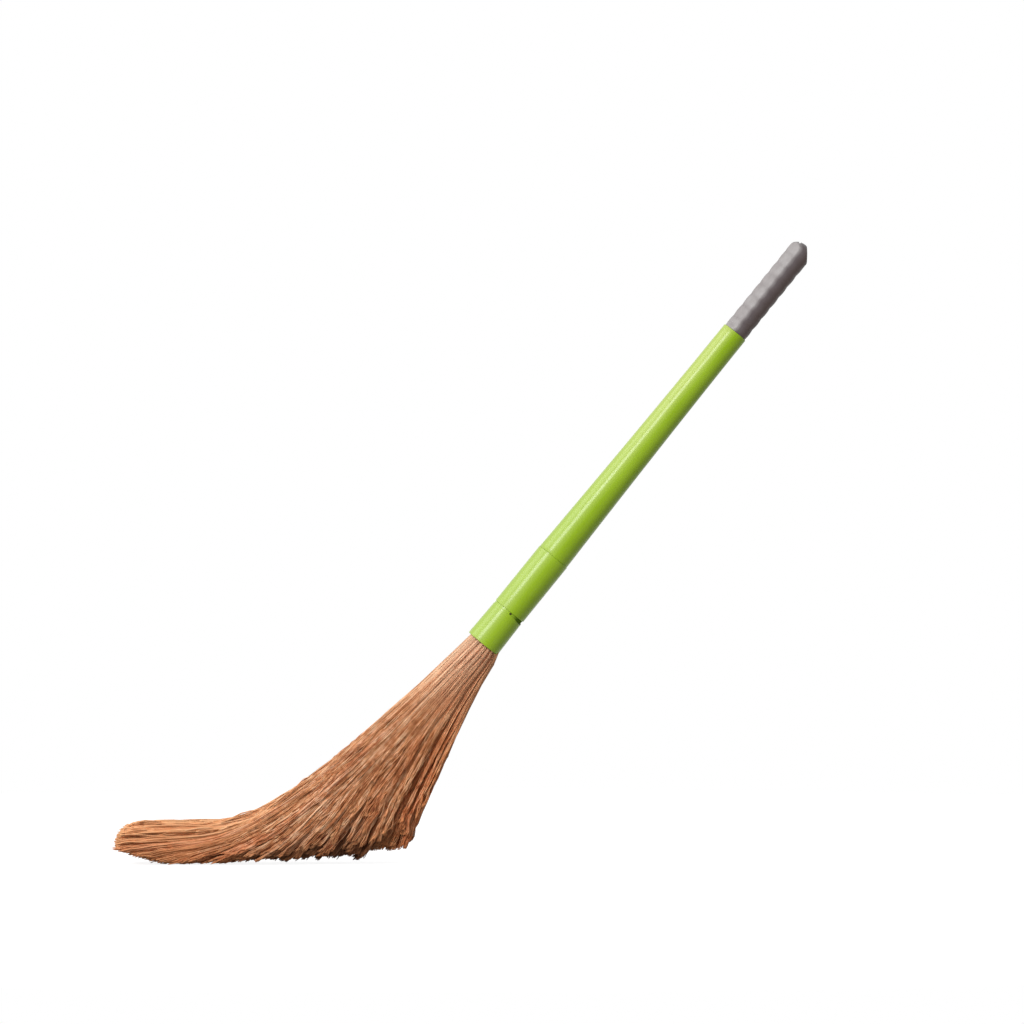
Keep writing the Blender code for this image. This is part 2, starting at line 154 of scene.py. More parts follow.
def turnedMesh(name, radius, height, closed=True):
    # Surface of revolution: point (i, j) is outline point i turned to angle 2 pi j / steps. radius
    # and height are (points, 1) or (points, steps), so the outline may change round the handle.
    # The outline runs down its outer side. An open outline has its two ends on the axis, as poles.
    steps = stance["turnSteps"]
    points = onHandle(radius, turns(), height)
    loop = np.concatenate((points, points[:1])) if closed else points
    step = np.linalg.norm(np.diff(loop, axis=0), axis=2).mean(axis=1)
    along = np.concatenate(([0], np.cumsum(step)))
    along = along / along[-1]
    i, j, quads = ringQuads(len(points), steps, closed)
    turn = np.stack((j, j, j + 1, j + 1), axis=1) / steps
    run = np.stack((along[i], along[i + 1], along[i + 1], along[i]), axis=1)
    bakeMap = np.stack((turn, run), axis=2).reshape(-1, 2)
    mesh = newMesh(name, points.reshape(-1, 3), quads, np.zeros((0, 3), int), bakeMap)
    if not closed:
        reshape(mesh, lambda shape: bmesh.ops.remove_doubles(
            shape, verts=shape.verts, dist=stance["mergeGap"]))
        mesh.shade_smooth()
    mesh.set_sharp_from_angle(angle=stance["sharpAngle"])
    return mesh


def reshape(mesh, change):
    shape = bmesh.new()
    shape.from_mesh(mesh)
    change(shape)
    shape.to_mesh(mesh)
    shape.free()


def cutterShape(name, points, faces):
    # A closed shape to cut with, its faces pointing outwards.
    mesh = bpy.data.meshes.new(name)
    mesh.from_pydata(points.tolist(), [], faces)
    reshape(mesh, lambda shape: bmesh.ops.recalc_face_normals(shape, faces=shape.faces))
    return addObject(name, mesh)


def cutAway(piece, cutter):
    # Takes the cutter's space out of the piece, and removes the cutter.
    step = piece.modifiers.new("cut", "BOOLEAN")
    step.operation = "DIFFERENCE"
    step.solver = "EXACT"
    step.object = cutter
    bpy.context.view_layer.update()
    graph = bpy.context.evaluated_depsgraph_get()
    mesh = bpy.data.meshes.new_from_object(piece.evaluated_get(graph))
    piece.modifiers.clear()
    mesh.name = piece.data.name
    piece.data = mesh
    mesh.set_sharp_from_angle(angle=stance["sharpAngle"])
    bpy.data.objects.remove(cutter, do_unlink=True)


# Materials

def newMaterial(name):
    material = bpy.data.materials.new(name)
    material.use_nodes = True
    tree = material.node_tree
    return material, tree, tree.nodes["Principled BSDF"]


def setSockets(tree, node, values):
    # Gives each socket its number or colour, or joins it to another node's outlet.
    for key, value in values.items():
        socket = node.inputs[key]
        if isinstance(value, bpy.types.NodeSocket):
            tree.links.new(value, socket)
        else:
            socket.default_value = (*value, 1.0) if socket.type == "RGBA" else value


def addNode(tree, kind, sockets, **settings):
    node = tree.nodes.new("ShaderNode" + kind)
    for key, value in settings.items():
        setattr(node, key, value)
    setSockets(tree, node, sockets)
    return node.outputs


def noise(tree, place, scale=1.0, detail=3.0, roughness=0.55):
    return addNode(tree, "TexNoise", {"Vector": place, "Scale": scale, "Detail": detail,
                                      "Roughness": roughness})["Fac"]


def span(tree, value, fromLow, fromHigh, toLow=0.0, toHigh=1.0):
    # Turns one range of values into another, and holds them there.
    return addNode(tree, "MapRange", {"Value": value, "From Min": fromLow, "From Max": fromHigh,
                                      "To Min": toLow, "To Max": toHigh})["Result"]


def calc(tree, way, first, *others):
    # Works through the values from the first to the last, two at a time.
    for other in others or (0.0,):
        first = addNode(tree, "Math", {0: first, 1: other}, operation=way)[0]
    return first


def times(tree, *values):
    return calc(tree, "MULTIPLY", *values)


def plus(tree, *values):
    return calc(tree, "ADD", *values)


def mixed(tree, share, first, second, way="MIX"):
    return addNode(tree, "Mix", {0: share, 6: first, 7: second}, data_type="RGBA",
                   blend_type=way)[2]


def bumps(tree, height, strength, distance):
    return addNode(tree, "Bump", {"Strength": strength, "Distance": distance,
                                  "Height": height})["Normal"]


def vectorMath(tree, way, *values):
    return addNode(tree, "VectorMath", dict(enumerate(values)), operation=way)


def stretched(tree, place, *scale):
    return vectorMath(tree, "MULTIPLY", place, scale)[0]


def objectPlace(tree):
    return addNode(tree, "TexCoord", {})["Object"]


def handlePlace(tree):
    # Object coordinates turned so that x runs up the handle, from the collar's mouth.
    place = vectorMath(tree, "SUBTRACT", objectPlace(tree), tuple(mouth))[0]
    return addNode(tree, "VectorRotate", {"Vector": place, "Angle": stance["lean"]},
                   rotation_type="Y_AXIS")[0]


def axes(tree, vector):
    return list(addNode(tree, "SeparateXYZ", {0: vector}))


greenFinish = {
    "colour": (0.365, 0.575, 0.012),
    "pale": (0.43, 0.64, 0.045),
    "deep": (0.30, 0.50, 0.004),
    "evenness": 0.62,  # how much of the clouds the plain colour covers
    "cloudScale": (9.0, 30.0, 30.0),  # patterns per metre: up the handle, and twice across it
    "cloudRange": (0.35, 0.65),
    "lineScale": (7.0, 420.0, 420.0),
    "lineRange": (0.60, 0.80, 0.0, 0.22),
    "scuffScale": (160.0, 600.0, 600.0),
    "scuffRange": (0.66, 0.74, 0.0, 0.14),
    "scuffHeight": 0.5,
    "scuff": (0.62, 0.74, 0.36),
    "paintedLight": (0.420, 0.575, 0.108),  # painted light: the upper side, towards the lamps, is paler, and more so further up
    "paintedLightHigh": (0.495, 0.612, 0.145),
    "paintedLightAlong": (0.16, 0.34),
    "paintedLightRange": (-0.0015, 0.0065, 0.0, 0.92),  # distances from the middle to the upper side
    "grooveShade": (0.125, 0.235, 0.006),  # painted shade in the collar's groove, under the sleeve's edge on the underside
    "grooveShadeRadius": (0.0174, 0.0182, 1.0, 0.0),
    "grooveShadeHeight": (0.0372, 0.0380),
    "grooveShadeSide": (-0.0005, -0.0080),
    "roughness": (0.3, 0.75, 0.20, 0.30),
    "shine": 0.22,
    "relief": (0.35, 0.000015),
}


def greenPlastic(name, seed, groove=False):
    # Glossy moulded plastic: faint cloudy colour, fine draw lines along the handle, small scuffs,
    # painted light on the upper side, and painted shade in the collar's groove.
    g = greenFinish
    material, tree, shader = newMaterial(name)
    place = handlePlace(tree)
    clouds = noise(tree, stretched(tree, place, *g["cloudScale"]), 1.0 + seed)
    lines = noise(tree, stretched(tree, place, *g["lineScale"]), roughness=0.6)
    scuffs = noise(tree, stretched(tree, place, *g["scuffScale"]), 1.0 + seed, detail=2.0)
    colour = mixed(tree, span(tree, clouds, *g["cloudRange"]), g["deep"], g["pale"])
    colour = mixed(tree, g["evenness"], colour, g["colour"])
    colour = mixed(tree, span(tree, lines, *g["lineRange"]), colour, g["pale"])
    colour = mixed(tree, span(tree, scuffs, *g["scuffRange"]), colour, g["scuff"])
    along, _, above = axes(tree, place)
    # Painted light: the upper side, towards the lamps, is mixed towards paler colours.
    paintedLight = mixed(tree, span(tree, along, *g["paintedLightAlong"]), g["paintedLight"], g["paintedLightHigh"])
    colour = mixed(tree, span(tree, above, *g["paintedLightRange"]), colour, paintedLight)
    roughness = span(tree, lines, *g["roughness"])
    if groove:
        # Painted shade: the groove's floor on the underside is darkened, and made rougher.
        fromAxis = vectorMath(tree, "LENGTH", stretched(tree, place, 0.0, 1.0, 1.0))["Value"]
        grooveShade = times(tree, span(tree, fromAxis, *g["grooveShadeRadius"]),
                     span(tree, along, *g["grooveShadeHeight"]), span(tree, above, *g["grooveShadeSide"]))
        colour = mixed(tree, grooveShade, colour, g["grooveShade"])
        roughness = calc(tree, "MAXIMUM", roughness, grooveShade)
    relief = plus(tree, lines, times(tree, scuffs, g["scuffHeight"]))
    setSockets(tree, shader, {"Base Color": colour, "Roughness": roughness,
                              "Normal": bumps(tree, relief, *g["relief"]),
                              "Specular IOR Level": g["shine"]})
    return material


greyFinish = {
    # dark, side and flat are painted shade and light round the grip
    "dark": (0.118, 0.074, 0.062),
    "side": (0.150, 0.122, 0.125),
    "flat": (0.390, 0.366, 0.362),  # painted light: the flat side, facing the lamps, is paler
    "worn": (0.45, 0.43, 0.43),
    "shade": (0.84, 0.82, 0.82),
    "shadedSideRange": (-0.0020, 0.0065),  # distances from the handle's middle towards the flat side, over which the painted shade gives way
    "litFlatRange": (0.0070, 0.0106),
    "ridgeLightShift": 0.0004,  # the painted light reaches further round on the rings' ridges
    "ringFade": (0.450, 0.500, 1.0, 0.55),  # up the handle, where the rings' painted light and shade fades
    "troughShade": (-0.80, -1.0, 0.0, 0.30),  # painted shade: how dark the rings' troughs are
    "blotchScale": (70.0, 110.0, 110.0),
    "blotchRange": (0.34, 0.66, 1.0, 0.0),
    "grainScale": (900.0, 1100.0, 1100.0),
    "dustScale": (260.0, 420.0, 420.0),
    "dustRange": (0.60, 0.80, 0.0, 0.18),
    "dustHeight": 0.8,
    "roughness": (0.3, 0.7, 0.52, 0.40),
    "shine": 0.30,
    "sheen": (0.25, 0.5),
    "relief": (0.6, 0.00010),
}


def greyGrip(name):
    # Matte moulded grip: blotchy grey, a fine leathery grain, painted light on the flat side and
    # the rings' ridges, painted shade on the far side and in the rings' troughs.
    g = greyFinish
    material, tree, shader = newMaterial(name)
    place = handlePlace(tree)
    blotches = noise(tree, stretched(tree, place, *g["blotchScale"]), 1.0, 5.0, 0.62)
    grain = noise(tree, stretched(tree, place, *g["grainScale"]), roughness=0.6)
    dust = noise(tree, stretched(tree, place, *g["dustScale"]), 1.0, 4.0, 0.7)
    flatWay = (0, -math.cos(grip["flatAngle"]), -math.sin(grip["flatAngle"]))
    toFlat = vectorMath(tree, "DOT_PRODUCT", place, flatWay)["Value"]
    along = axes(tree, place)[0]
    turn = times(tree, 2 * math.pi / grip["ringPitch"],
                 calc(tree, "SUBTRACT", along, grip["bottom"] + grip["lip"]))
    ridge = times(tree, calc(tree, "COSINE", turn), span(tree, along, *g["ringFade"]))
    toFlat = plus(tree, toFlat, times(tree, ridge, g["ridgeLightShift"]))
    # Painted light and shade: dark on the far side, paler towards the flat side that faces the
    # lamps.
    colour = mixed(tree, span(tree, toFlat, *g["shadedSideRange"]), g["dark"], g["side"])
    colour = mixed(tree, span(tree, toFlat, *g["litFlatRange"]), colour, g["flat"])
    # Random blotches, and painted shade in the rings' troughs.
    for shade in (span(tree, blotches, *g["blotchRange"]), span(tree, ridge, *g["troughShade"])):
        colour = mixed(tree, shade, colour, g["shade"], "MULTIPLY")
    colour = mixed(tree, span(tree, dust, *g["dustRange"]), colour, g["worn"])
    relief = plus(tree, grain, times(tree, dust, g["dustHeight"]))
    setSockets(tree, shader, {"Base Color": colour,
                              "Roughness": span(tree, blotches, *g["roughness"]),
                              "Normal": bumps(tree, relief, *g["relief"]),
                              "Specular IOR Level": g["shine"], "Sheen Weight": g["sheen"][0],
                              "Sheen Roughness": g["sheen"][1]})
    return material


# Distances run from the root in metres. Sides run from 0 at the tail's to 1 at the heel's.
fibreFinish = {
    "dark": (0.160, 0.038, 0.010),
    "brown": (0.480, 0.174, 0.064),
    "tan": (0.735, 0.350, 0.162),
    "pale": (0.960, 0.625, 0.385),
    "stops": {"brown": 0.48, "tan": 0.74},
    "ends": (0.28, 1.0),
    "looseFrom": (0.05, 0.15),  # distances over which the neck's streaks give way
    "wispStreaks": (0.34, 0.66, -0.04, 0.50),  # what each pattern adds to the colour's level
    "strandStreaks": (0.34, 0.66),
    "neckStreaks": (0.36, 0.64, 0.12, 0.42),
    "patches": (0.36, 0.64, 0.07, 0.23),
    "heelTips": ((0.60, 0.90, 0.0, 0.10), (0.55, 0.85)),
    "neckScale": (40.0, 380.0, 380.0),
    "patchScale": 170.0,
    "wispRow": (38.0, 91.0),  # patterns per metre of the strand, and the step between rows
    "strandRow": (55.0, 173.0),
    "dashRow": (80.0, 211.0, 2.0, 0.5),
    "dashes": (0.60, 0.72, 0.0, 0.60),
    "tailDashes": (0.0, 0.7, 1.0, 0.30),
    "neckLevel": 0.15,
    "weights": (0.12, 0.15, 0.22, 0.15, 0.12),  # strand's streaks and tones of strand to clump
    "neck": (0.940, 0.610, 0.420),
    "neckRange": (0.015, 0.120, 0.75, 0.0),
    "tail": (0.96, 0.505, 0.245),
    "tailSide": (0.12, 0.44, 0.92, 0.0),
    "tailFrom": (0.20, 0.42),
    "tip": (0.980, 0.540, 0.270),
    "tipFrom": (0.94, 0.99),
    "tipSide": (0.30, 0.70, 0.42, 0.85),
    "ruddy": (0.98, 0.87, 0.86),  # some clumps are redder
    "ruddyRange": (0.55, 1.0),
    "lowInnerShade": (0.085, 0.030, 0.012),  # painted shade on the inner ends near the ground
    "lowInnerShadeHeight": (0.006, 0.062, 1.0, 0.0),
    "lowInnerShadeSide": (0.36, 0.60),
    "lowInnerShadeHeel": (0.76, 0.90, 1.0, 0.25),
    "lowInnerShadeInside": (0.0, 0.65, 0.40, 0.88),
    "low": (0.74, 0.55, 0.44),  # painted shade: darkens and reddens what lies near the ground
    "groundShadeHeight": (0.002, 0.040, 1.0, 0.0),
    "heel": (0.95, 0.75, 0.59),  # painted shade on the heel's side too
    "heelShadeRange": (0.50, 1.0),
    "roughness": (0.3, 0.7, 0.50, 0.80),
    "shine": 0.22,
    "relief": (0.5, 0.0001),
}


def dryFibre(name):
    # Dry plant fibre. The strand's own numbers come with the mesh: "fibre" holds the distance from
    # the root in metres, the share of the strand passed and a number of the strand's own; "lock"
    # holds one of its wisp's, one of its lock's, and how far to the heel's side it is rooted;
    # "clump" holds one of its clump's, how deep inside the fan it lies, and another of the clump's.
    d = fibreFinish
    material, tree, shader = newMaterial(name)
    outlets = []
    for key in ("fibre", "lock", "clump"):
        own = addNode(tree, "Attribute", {}, attribute_name=key)
        outlets += axes(tree, own["Vector"])
    run, share, tone, wispTone, lockTone, side, clumpTone, inside, clumpHue = outlets

    def alongStrand(own, perMetre, step, detail=3.0, roughness=0.6):
        # Noise that runs along a strand, in a row of its own.
        place = addNode(tree, "CombineXYZ", {0: times(tree, run, perMetre),
                                             1: times(tree, own, step)})[0]
        return noise(tree, place, 1.0, detail, roughness)

    neckStreaks = noise(tree, stretched(tree, handlePlace(tree), *d["neckScale"]), roughness=0.5)
    wispStreaks = alongStrand(wispTone, *d["wispRow"])
    strandStreaks = alongStrand(tone, *d["strandRow"])
    dashes = alongStrand(wispTone, *d["dashRow"])
    place = objectPlace(tree)
    patches = noise(tree, place, d["patchScale"], 2.0, 0.5)
    loose = span(tree, run, *d["looseFrom"])
    tight = calc(tree, "SUBTRACT", 1.0, loose)
    parts = (span(tree, strandStreaks, *d["strandStreaks"]), tone, wispTone, lockTone, clumpTone)
    heelSide, heelEnd = d["heelTips"]
    level = plus(
        tree, times(tree, loose, span(tree, wispStreaks, *d["wispStreaks"])),
        times(tree, tight, span(tree, neckStreaks, *d["neckStreaks"])),
        *(times(tree, part, weight) for part, weight in zip(parts, d["weights"])),
        times(tree, loose, span(tree, patches, *d["patches"])),
        times(tree, tight, d["neckLevel"]),
        times(tree, span(tree, side, *heelSide), span(tree, share, *heelEnd)))
    ramp = tree.nodes.new("ShaderNodeValToRGB")
    stops = ramp.color_ramp.elements
    for stop, position, key in zip(stops, d["ends"], ("dark", "pale")):
        stop.position, stop.color = position, (*d[key], 1)
    for key, position in d["stops"].items():
        stops.new(position).color = (*d[key], 1)
    tree.links.new(level, ramp.inputs["Fac"])
    colour = mixed(tree, span(tree, run, *d["neckRange"]), ramp.outputs["Color"], d["neck"])
    tail = times(tree, span(tree, side, *d["tailSide"]), span(tree, run, *d["tailFrom"]))
    colour = mixed(tree, tail, colour, d["tail"])
    tips = times(tree, span(tree, share, *d["tipFrom"]), span(tree, side, *d["tipSide"]))
    colour = mixed(tree, tips, colour, d["tip"])
    dashes = times(tree, loose, span(tree, dashes, *d["dashes"]),
                   span(tree, tail, *d["tailDashes"]))
    colour = mixed(tree, dashes, colour, d["dark"])
    hue = times(tree, loose, span(tree, clumpHue, *d["ruddyRange"]))
    height = axes(tree, place)[2]
    # Painted shade on the heel's side and near the ground; some clumps are redder.
    for shade, key in ((span(tree, side, *d["heelShadeRange"]), "heel"), (hue, "ruddy"),
                       (span(tree, height, *d["groundShadeHeight"]), "low")):
        colour = mixed(tree, shade, colour, d[key], "MULTIPLY")
    # Painted shade: inner ends near the ground, between the clumps, darken.
    lowInnerShade = times(tree, span(tree, height, *d["lowInnerShadeHeight"]), span(tree, side, *d["lowInnerShadeSide"]),
                   span(tree, side, *d["lowInnerShadeHeel"]), span(tree, inside, *d["lowInnerShadeInside"]))
    colour = mixed(tree, lowInnerShade, colour, d["lowInnerShade"])
    setSockets(tree, shader, {"Base Color": colour,
                              "Roughness": span(tree, strandStreaks, *d["roughness"]),
                              "Normal": bumps(tree, strandStreaks, *d["relief"]),
                              "Specular IOR Level": d["shine"]})
    return material


# Camera

portrait = {
    "middle": (0.05523, 0.36925),  # x and z at the picture's middle
    "width": 1.0752,  # what the frame holds at the broom's plane
    "distance": 6.0,
    "sensor": 36.0,
}

cameraData = bpy.data.cameras.new("portrait")
cameraData.sensor_width = portrait["sensor"]
cameraData.lens = portrait["sensor"] * portrait["distance"] / portrait["width"]
cameraData.clip_end = 60.0
camera = addObject("portrait", cameraData)
camera.location = (portrait["middle"][0], -portrait["distance"], portrait["middle"][1])
camera.rotation_euler = (math.pi / 2, 0, 0)
bpy.context.scene.camera = camera


# Collar

collar = {
    "length": 0.0413,
    "mouthRadius": 0.0192,
    "mouthWall": 0.004,  # the outer wall narrows from this height up
    "rimRadius": 0.0184,
    "rimFrom": 0.9,  # to this share of the length
    "mouthBore": 0.0178,
    "chamber": 0.0156,
    "flare": 0.014,
    "chamberTop": 0.0449,
    "neckRadius": 0.0179,
    "neckTop": 0.0437,
    "spigotRadius": 0.0167,
    "spigotTop": 0.0697,
    "spigotBore": 0.0142,
    "edge": 0.0007,
    "rimDip": 0.0019,  # the rim falls away on the underside
    "neckDip": 0.0014,
    "dipFrom": math.radians(22.0),
    "dipTo": math.radians(112.0),
}


def collarMesh():
    # Closed outline turned about the handle. Where the angle lies between dipFrom and dipTo, the
    # rim is lower by rimDip * ease(1 - |angle - middle| / reach), and the groove's floor deeper.
    c = collar
    outline = roundedOutline([
        (c["spigotRadius"], c["spigotTop"], c["edge"]),
        (c["spigotRadius"], c["neckTop"], 0),
        (c["neckRadius"], c["neckTop"], 0),
        (c["neckRadius"], c["length"], 0),
        (c["rimRadius"], c["length"], c["edge"] / 2),
        (c["rimRadius"], c["length"] * c["rimFrom"], 0),
        (c["mouthRadius"], c["mouthWall"], 0),
        (c["mouthRadius"], 0, c["edge"]),
        (c["mouthBore"], 0, c["edge"] / 2),
        (c["chamber"], c["flare"], 0),
        (c["chamber"], c["chamberTop"], 0),
        (c["spigotBore"], c["chamberTop"], 0),
        (c["spigotBore"], c["spigotTop"], 0),
    ])
    middle, reach = (c["dipFrom"] + c["dipTo"]) / 2, (c["dipTo"] - c["dipFrom"]) / 2
    dip = ease(1 - np.abs(turns() - middle) / reach)
    radius, height = outline[:, :1], outline[:, 1:]
    inRim = (radius > c["neckRadius"] - 0.0001) & (height > c["length"] * 0.94) \
        & (height < c["length"] + 0.0002)
    inNeck = (np.abs(radius - c["neckRadius"]) < 0.00005) & (height > c["length"] * 0.94)
    height = height - c["rimDip"] * dip * inRim
    radius = radius - c["neckDip"] * dip * inNeck
    return turnedMesh("bristle_collar_shell", radius, height)


pinHole = {"radius": 0.0012, "angle": math.radians(8.6), "height": 0.04265, "sides": 40,
           "inner": 0.0113, "outer": 0.0215}


def pinHoleCutter(angle):
    # A round bar across the handle: centre line outward at the angle, ring point j at 2 pi j / n.
    outward = math.cos(angle) * frontSide + math.sin(angle) * underside
    sideways = np.cross(outward, upHandle)
    centre = mouth + pinHole["height"] * upHandle
    turn = turns(pinHole["sides"])[..., None]
    reach = np.array((pinHole["inner"], pinHole["outer"]))[:, None, None]
    ring = pinHole["radius"] * (np.cos(turn) * sideways + np.sin(turn) * upHandle)
    points = (centre + reach * outward + ring).reshape(-1, 3)
    n = pinHole["sides"]
    quads = ringQuads(2, n)[2][:, [0, 3, 2, 1]].tolist()
    return cutterShape("pin_hole", points, quads + [list(range(n))[::-1], list(range(n, 2 * n))])


collarPiece = addPiece("bristle_collar_shell", collarMesh(),
                       greenPlastic("green_collar", 0.0, groove=True), ["bristle_collar"])
cutAway(collarPiece, pinHoleCutter(pinHole["angle"]))
cutAway(collarPiece, pinHoleCutter(pinHole["angle"] + math.pi))
print("collar", len(collarPiece.data.polygons), "faces")


# Sleeve

sleeve = {
    "bottom": 0.0440,
    "top": 0.1175,
    "radius": 0.0185,
    "bore": 0.0170,
    "edge": 0.0005,
    "topEdge": 0.0002,
}


def sleeveMesh():
    # Closed outline turned about the handle: outer wall down, lower edge, bore up.
    s = sleeve
    outline = roundedOutline([
        (s["radius"], s["top"], s["topEdge"]),
        (s["radius"], s["bottom"], s["edge"]),
        (s["bore"], s["bottom"], 0),
        (s["bore"], s["top"], 0),
    ])
    return turnedMesh("coupling_sleeve_shell", outline[:, :1], outline[:, 1:])


sleevePiece = addPiece("coupling_sleeve_shell", sleeveMesh(), greenPlastic("green_sleeve", 0.13),
                       ["coupling_sleeve"])
print("sleeve", len(sleevePiece.data.polygons), "faces")


# Tube

tube = {
    "bottom": 0.11765,
    "top": 0.4206,
    "footRadius": 0.0181,
    "topRadius": 0.0140,
    "wall": 0.0018,
    "taper": 1.6,
    "rings": 60,
    "edge": 0.0004,
    "spigotRadius": 0.0167,
    "spigotLength": 0.028,
    "spigotBore": 0.0144,
    "gripSocket": 0.0333,
}


def tubeMesh():
    # Outer wall: radius = top + (foot - top) * share^1.6, with the share running from top to foot.
    t = tube
    share = np.linspace(0, 1, t["rings"])
    wallRadius = t["topRadius"] + (t["footRadius"] - t["topRadius"]) * share ** t["taper"]
    wallHeight = t["top"] - t["edge"] - (t["top"] - t["bottom"] - 2 * t["edge"]) * share
    wall = np.stack((wallRadius, wallHeight), axis=1)
    socket = t["topRadius"] - t["wall"]
    low = t["bottom"] - t["spigotLength"]
    upperRim = np.array([(t["topRadius"] - t["edge"], t["top"]),
                         (t["topRadius"] - t["edge"] * 0.3, t["top"] - t["edge"] * 0.3)])
    rest = np.array([
        (t["footRadius"] - t["edge"] * 0.3, t["bottom"] + t["edge"] * 0.3),
        (t["footRadius"] - t["edge"], t["bottom"]),
        (t["spigotRadius"], t["bottom"]),
        (t["spigotRadius"], low + t["edge"]),
        (t["spigotRadius"] - t["edge"], low),
        (t["spigotBore"], low),
        (t["spigotBore"], t["bottom"]),
        (socket, t["top"] - t["gripSocket"]),
        (socket, t["top"]),
    ])
    outline = np.concatenate((upperRim, wall, rest))
    return turnedMesh("handle_tube_shell", outline[:, :1], outline[:, 1:])


tubePiece = addPiece("handle_tube_shell", tubeMesh(), greenPlastic("green_tube", 0.29),
                     ["handle_tube"])
print("tube", len(tubePiece.data.polygons), "faces")


# Grip

grip = {
    "bottom": 0.4209,
    "top": 0.5384,
    "radius": 0.0132,
    "flatAngle": math.radians(-52.0),  # middle of the flat side, from the front
    "flatHalf": math.radians(35.0),
    "flatEdge": 0.0014,
    "flatFrom": 0.007,  # the lip below stays round
    "ringPitch": 0.0145,
    "ringDepth": 0.00065,
    "lip": 0.006,
    "dome": 0.0096,
    "bevelStart": 0.0015,  # the slanted cut begins this far past the axis
    "bevel": math.radians(51.0),
    "edge": 0.0009,
    "spigotRadius": 0.0119,
    "spigotLength": 0.0333,
    "bore": 0.0092,
    "boreDepth": 0.0867,
    "wallRings": 260,
    "capRings": 40,
    "notchOffset": 0.0064,
    "notchWidth": 0.0018,
    "notchDepth": 0.0016,
    "notchReach": 0.01,
}


def softLeast(first, second, reach):
    # Smaller of two heights, with the crease between them rounded over the reach.
    share = np.clip(0.5 + 0.5 * (second - first) / reach, 0, 1)
    return second + (first - second) * share - reach * share * (1 - share)


def gripTopHeight(radius, angle):
    # Height of the grip's end over a point: the dome, or the slanted cut where that is lower.
    g = grip
    dome = g["top"] - g["dome"] * (1 - np.sqrt(np.clip(1 - (radius / g["radius"]) ** 2, 0, 1)))
    beside = radius * np.sin(angle)
    slant = g["top"] - (beside - g["bevelStart"]) * math.tan(g["bevel"])
    return softLeast(dome, slant, g["edge"])


def gripMesh():
    # Rows: end cap from the axis outward, wall downward, lower rim, spigot, and the bore back up
    # to its closed top on the axis. The wall swells by ringDepth * |cos(pi h / pitch)|, and one
    # side is flat: radius <= R cos(flatHalf) / cos(angle - flatAngle).
    g = grip
    angle = turns()
    capShare = np.sin(np.linspace(0, np.pi / 2, g["capRings"]))[:, None]
    fromFlat = np.cos(angle - g["flatAngle"])
    flat = g["radius"] * math.cos(g["flatHalf"]) / np.maximum(fromFlat, 0.3)
    outline = softLeast(g["radius"] * np.ones_like(angle), flat, g["flatEdge"])
    capRadius = outline * 0.9995 * capShare
    capHeight = gripTopHeight(capRadius, angle)
    roundOff = np.clip(1 - (outline - capRadius) / g["edge"], 0, 1)
    capHeight = capHeight - g["edge"] * (1 - np.sqrt(np.clip(1 - roundOff ** 2, 0, 1))) * 0.8
    wallTop = capHeight[-1:, :]
    share = np.linspace(0, 1, g["wallRings"])[1:, None]
    wallHeight = wallTop + (g["bottom"] + g["edge"] * 0.4 - wallTop) * share
    turn = np.pi * (wallHeight - g["bottom"] - g["lip"]) / g["ringPitch"]
    ringed = ease((wallTop - wallHeight) / g["ringPitch"])
    flattened = ease((wallHeight - g["bottom"]) / g["flatFrom"])
    wallRadius = (g["radius"] + (outline - g["radius"]) * flattened
                  - g["ringDepth"] * (1 - np.abs(np.cos(turn))) * ringed)
    low = g["bottom"] - g["spigotLength"]
    rest = np.array([
        (g["radius"] - g["edge"] * 0.4, g["bottom"]),
        (g["spigotRadius"], g["bottom"]),
        (g["spigotRadius"], low + g["edge"]),
        (g["spigotRadius"] - g["edge"], low),
        (g["bore"], low),
        (g["bore"], g["bottom"] + g["boreDepth"]),
        (0.0, g["bottom"] + g["boreDepth"]),
    ])[..., None] * np.ones_like(angle)
    radius = np.concatenate((capRadius, wallRadius, rest[:, 0]))
    height = np.concatenate((capHeight, wallHeight, rest[:, 1]))
    return turnedMesh("grip_shell", radius, height, closed=False)


def notchCutter():
    # A box across the handle that starts just under the dome, notchOffset from the axis.
    g = grip
    drop = g["dome"] * (1 - math.sqrt(1 - (g["notchOffset"] / g["radius"]) ** 2))
    floor = g["top"] - drop - g["notchDepth"]
    corner = np.array([(x, y, z) for x in (-1, 1) for y in (-1, 1) for z in (0, 1)], float)
    points = (mouth + (floor + corner[:, 2:] * g["notchReach"]) * upHandle
              + (corner[:, :1] * g["notchWidth"] / 2 - g["notchOffset"]) * underside
              + corner[:, 1:2] * 2 * g["radius"] * frontSide)
    faces = [(0, 1, 3, 2), (4, 6, 7, 5), (0, 4, 5, 1), (2, 3, 7, 6), (0, 2, 6, 4), (1, 5, 7, 3)]
    return cutterShape("notch", points, faces)


gripPiece = addPiece("grip_shell", gripMesh(), greyGrip("grey_grip"), ["grip"])
cutAway(gripPiece, notchCutter())
print("grip", len(gripPiece.data.polygons), "faces")


# Inside the collar: the plug, the wire and the pins keep their solids

steelFinish = {"colour": (0.24, 0.23, 0.22), "stain": (0.09, 0.055, 0.035), "stainScale": 900.0,
               "stainRange": (0.48, 0.62, 0.0, 0.8), "roughness": (0.3, 0.7, 0.30, 0.65),
               "relief": (0.4, 0.00005)}


def dullSteel(name, brightness):
    # Drawn steel with small brown stains.
    s = steelFinish
    material, tree, shader = newMaterial(name)
    stains = noise(tree, objectPlace(tree), s["stainScale"], 4.0, 0.6)
    steel = tuple(c * brightness for c in s["colour"])
    colour = mixed(tree, span(tree, stains, *s["stainRange"]), steel, s["stain"])
    setSockets(tree, shader, {"Base Color": colour, "Metallic": 1.0,
                              "Roughness": span(tree, stains, *s["roughness"]),
                              "Normal": bumps(tree, stains, *s["relief"])})
    return material


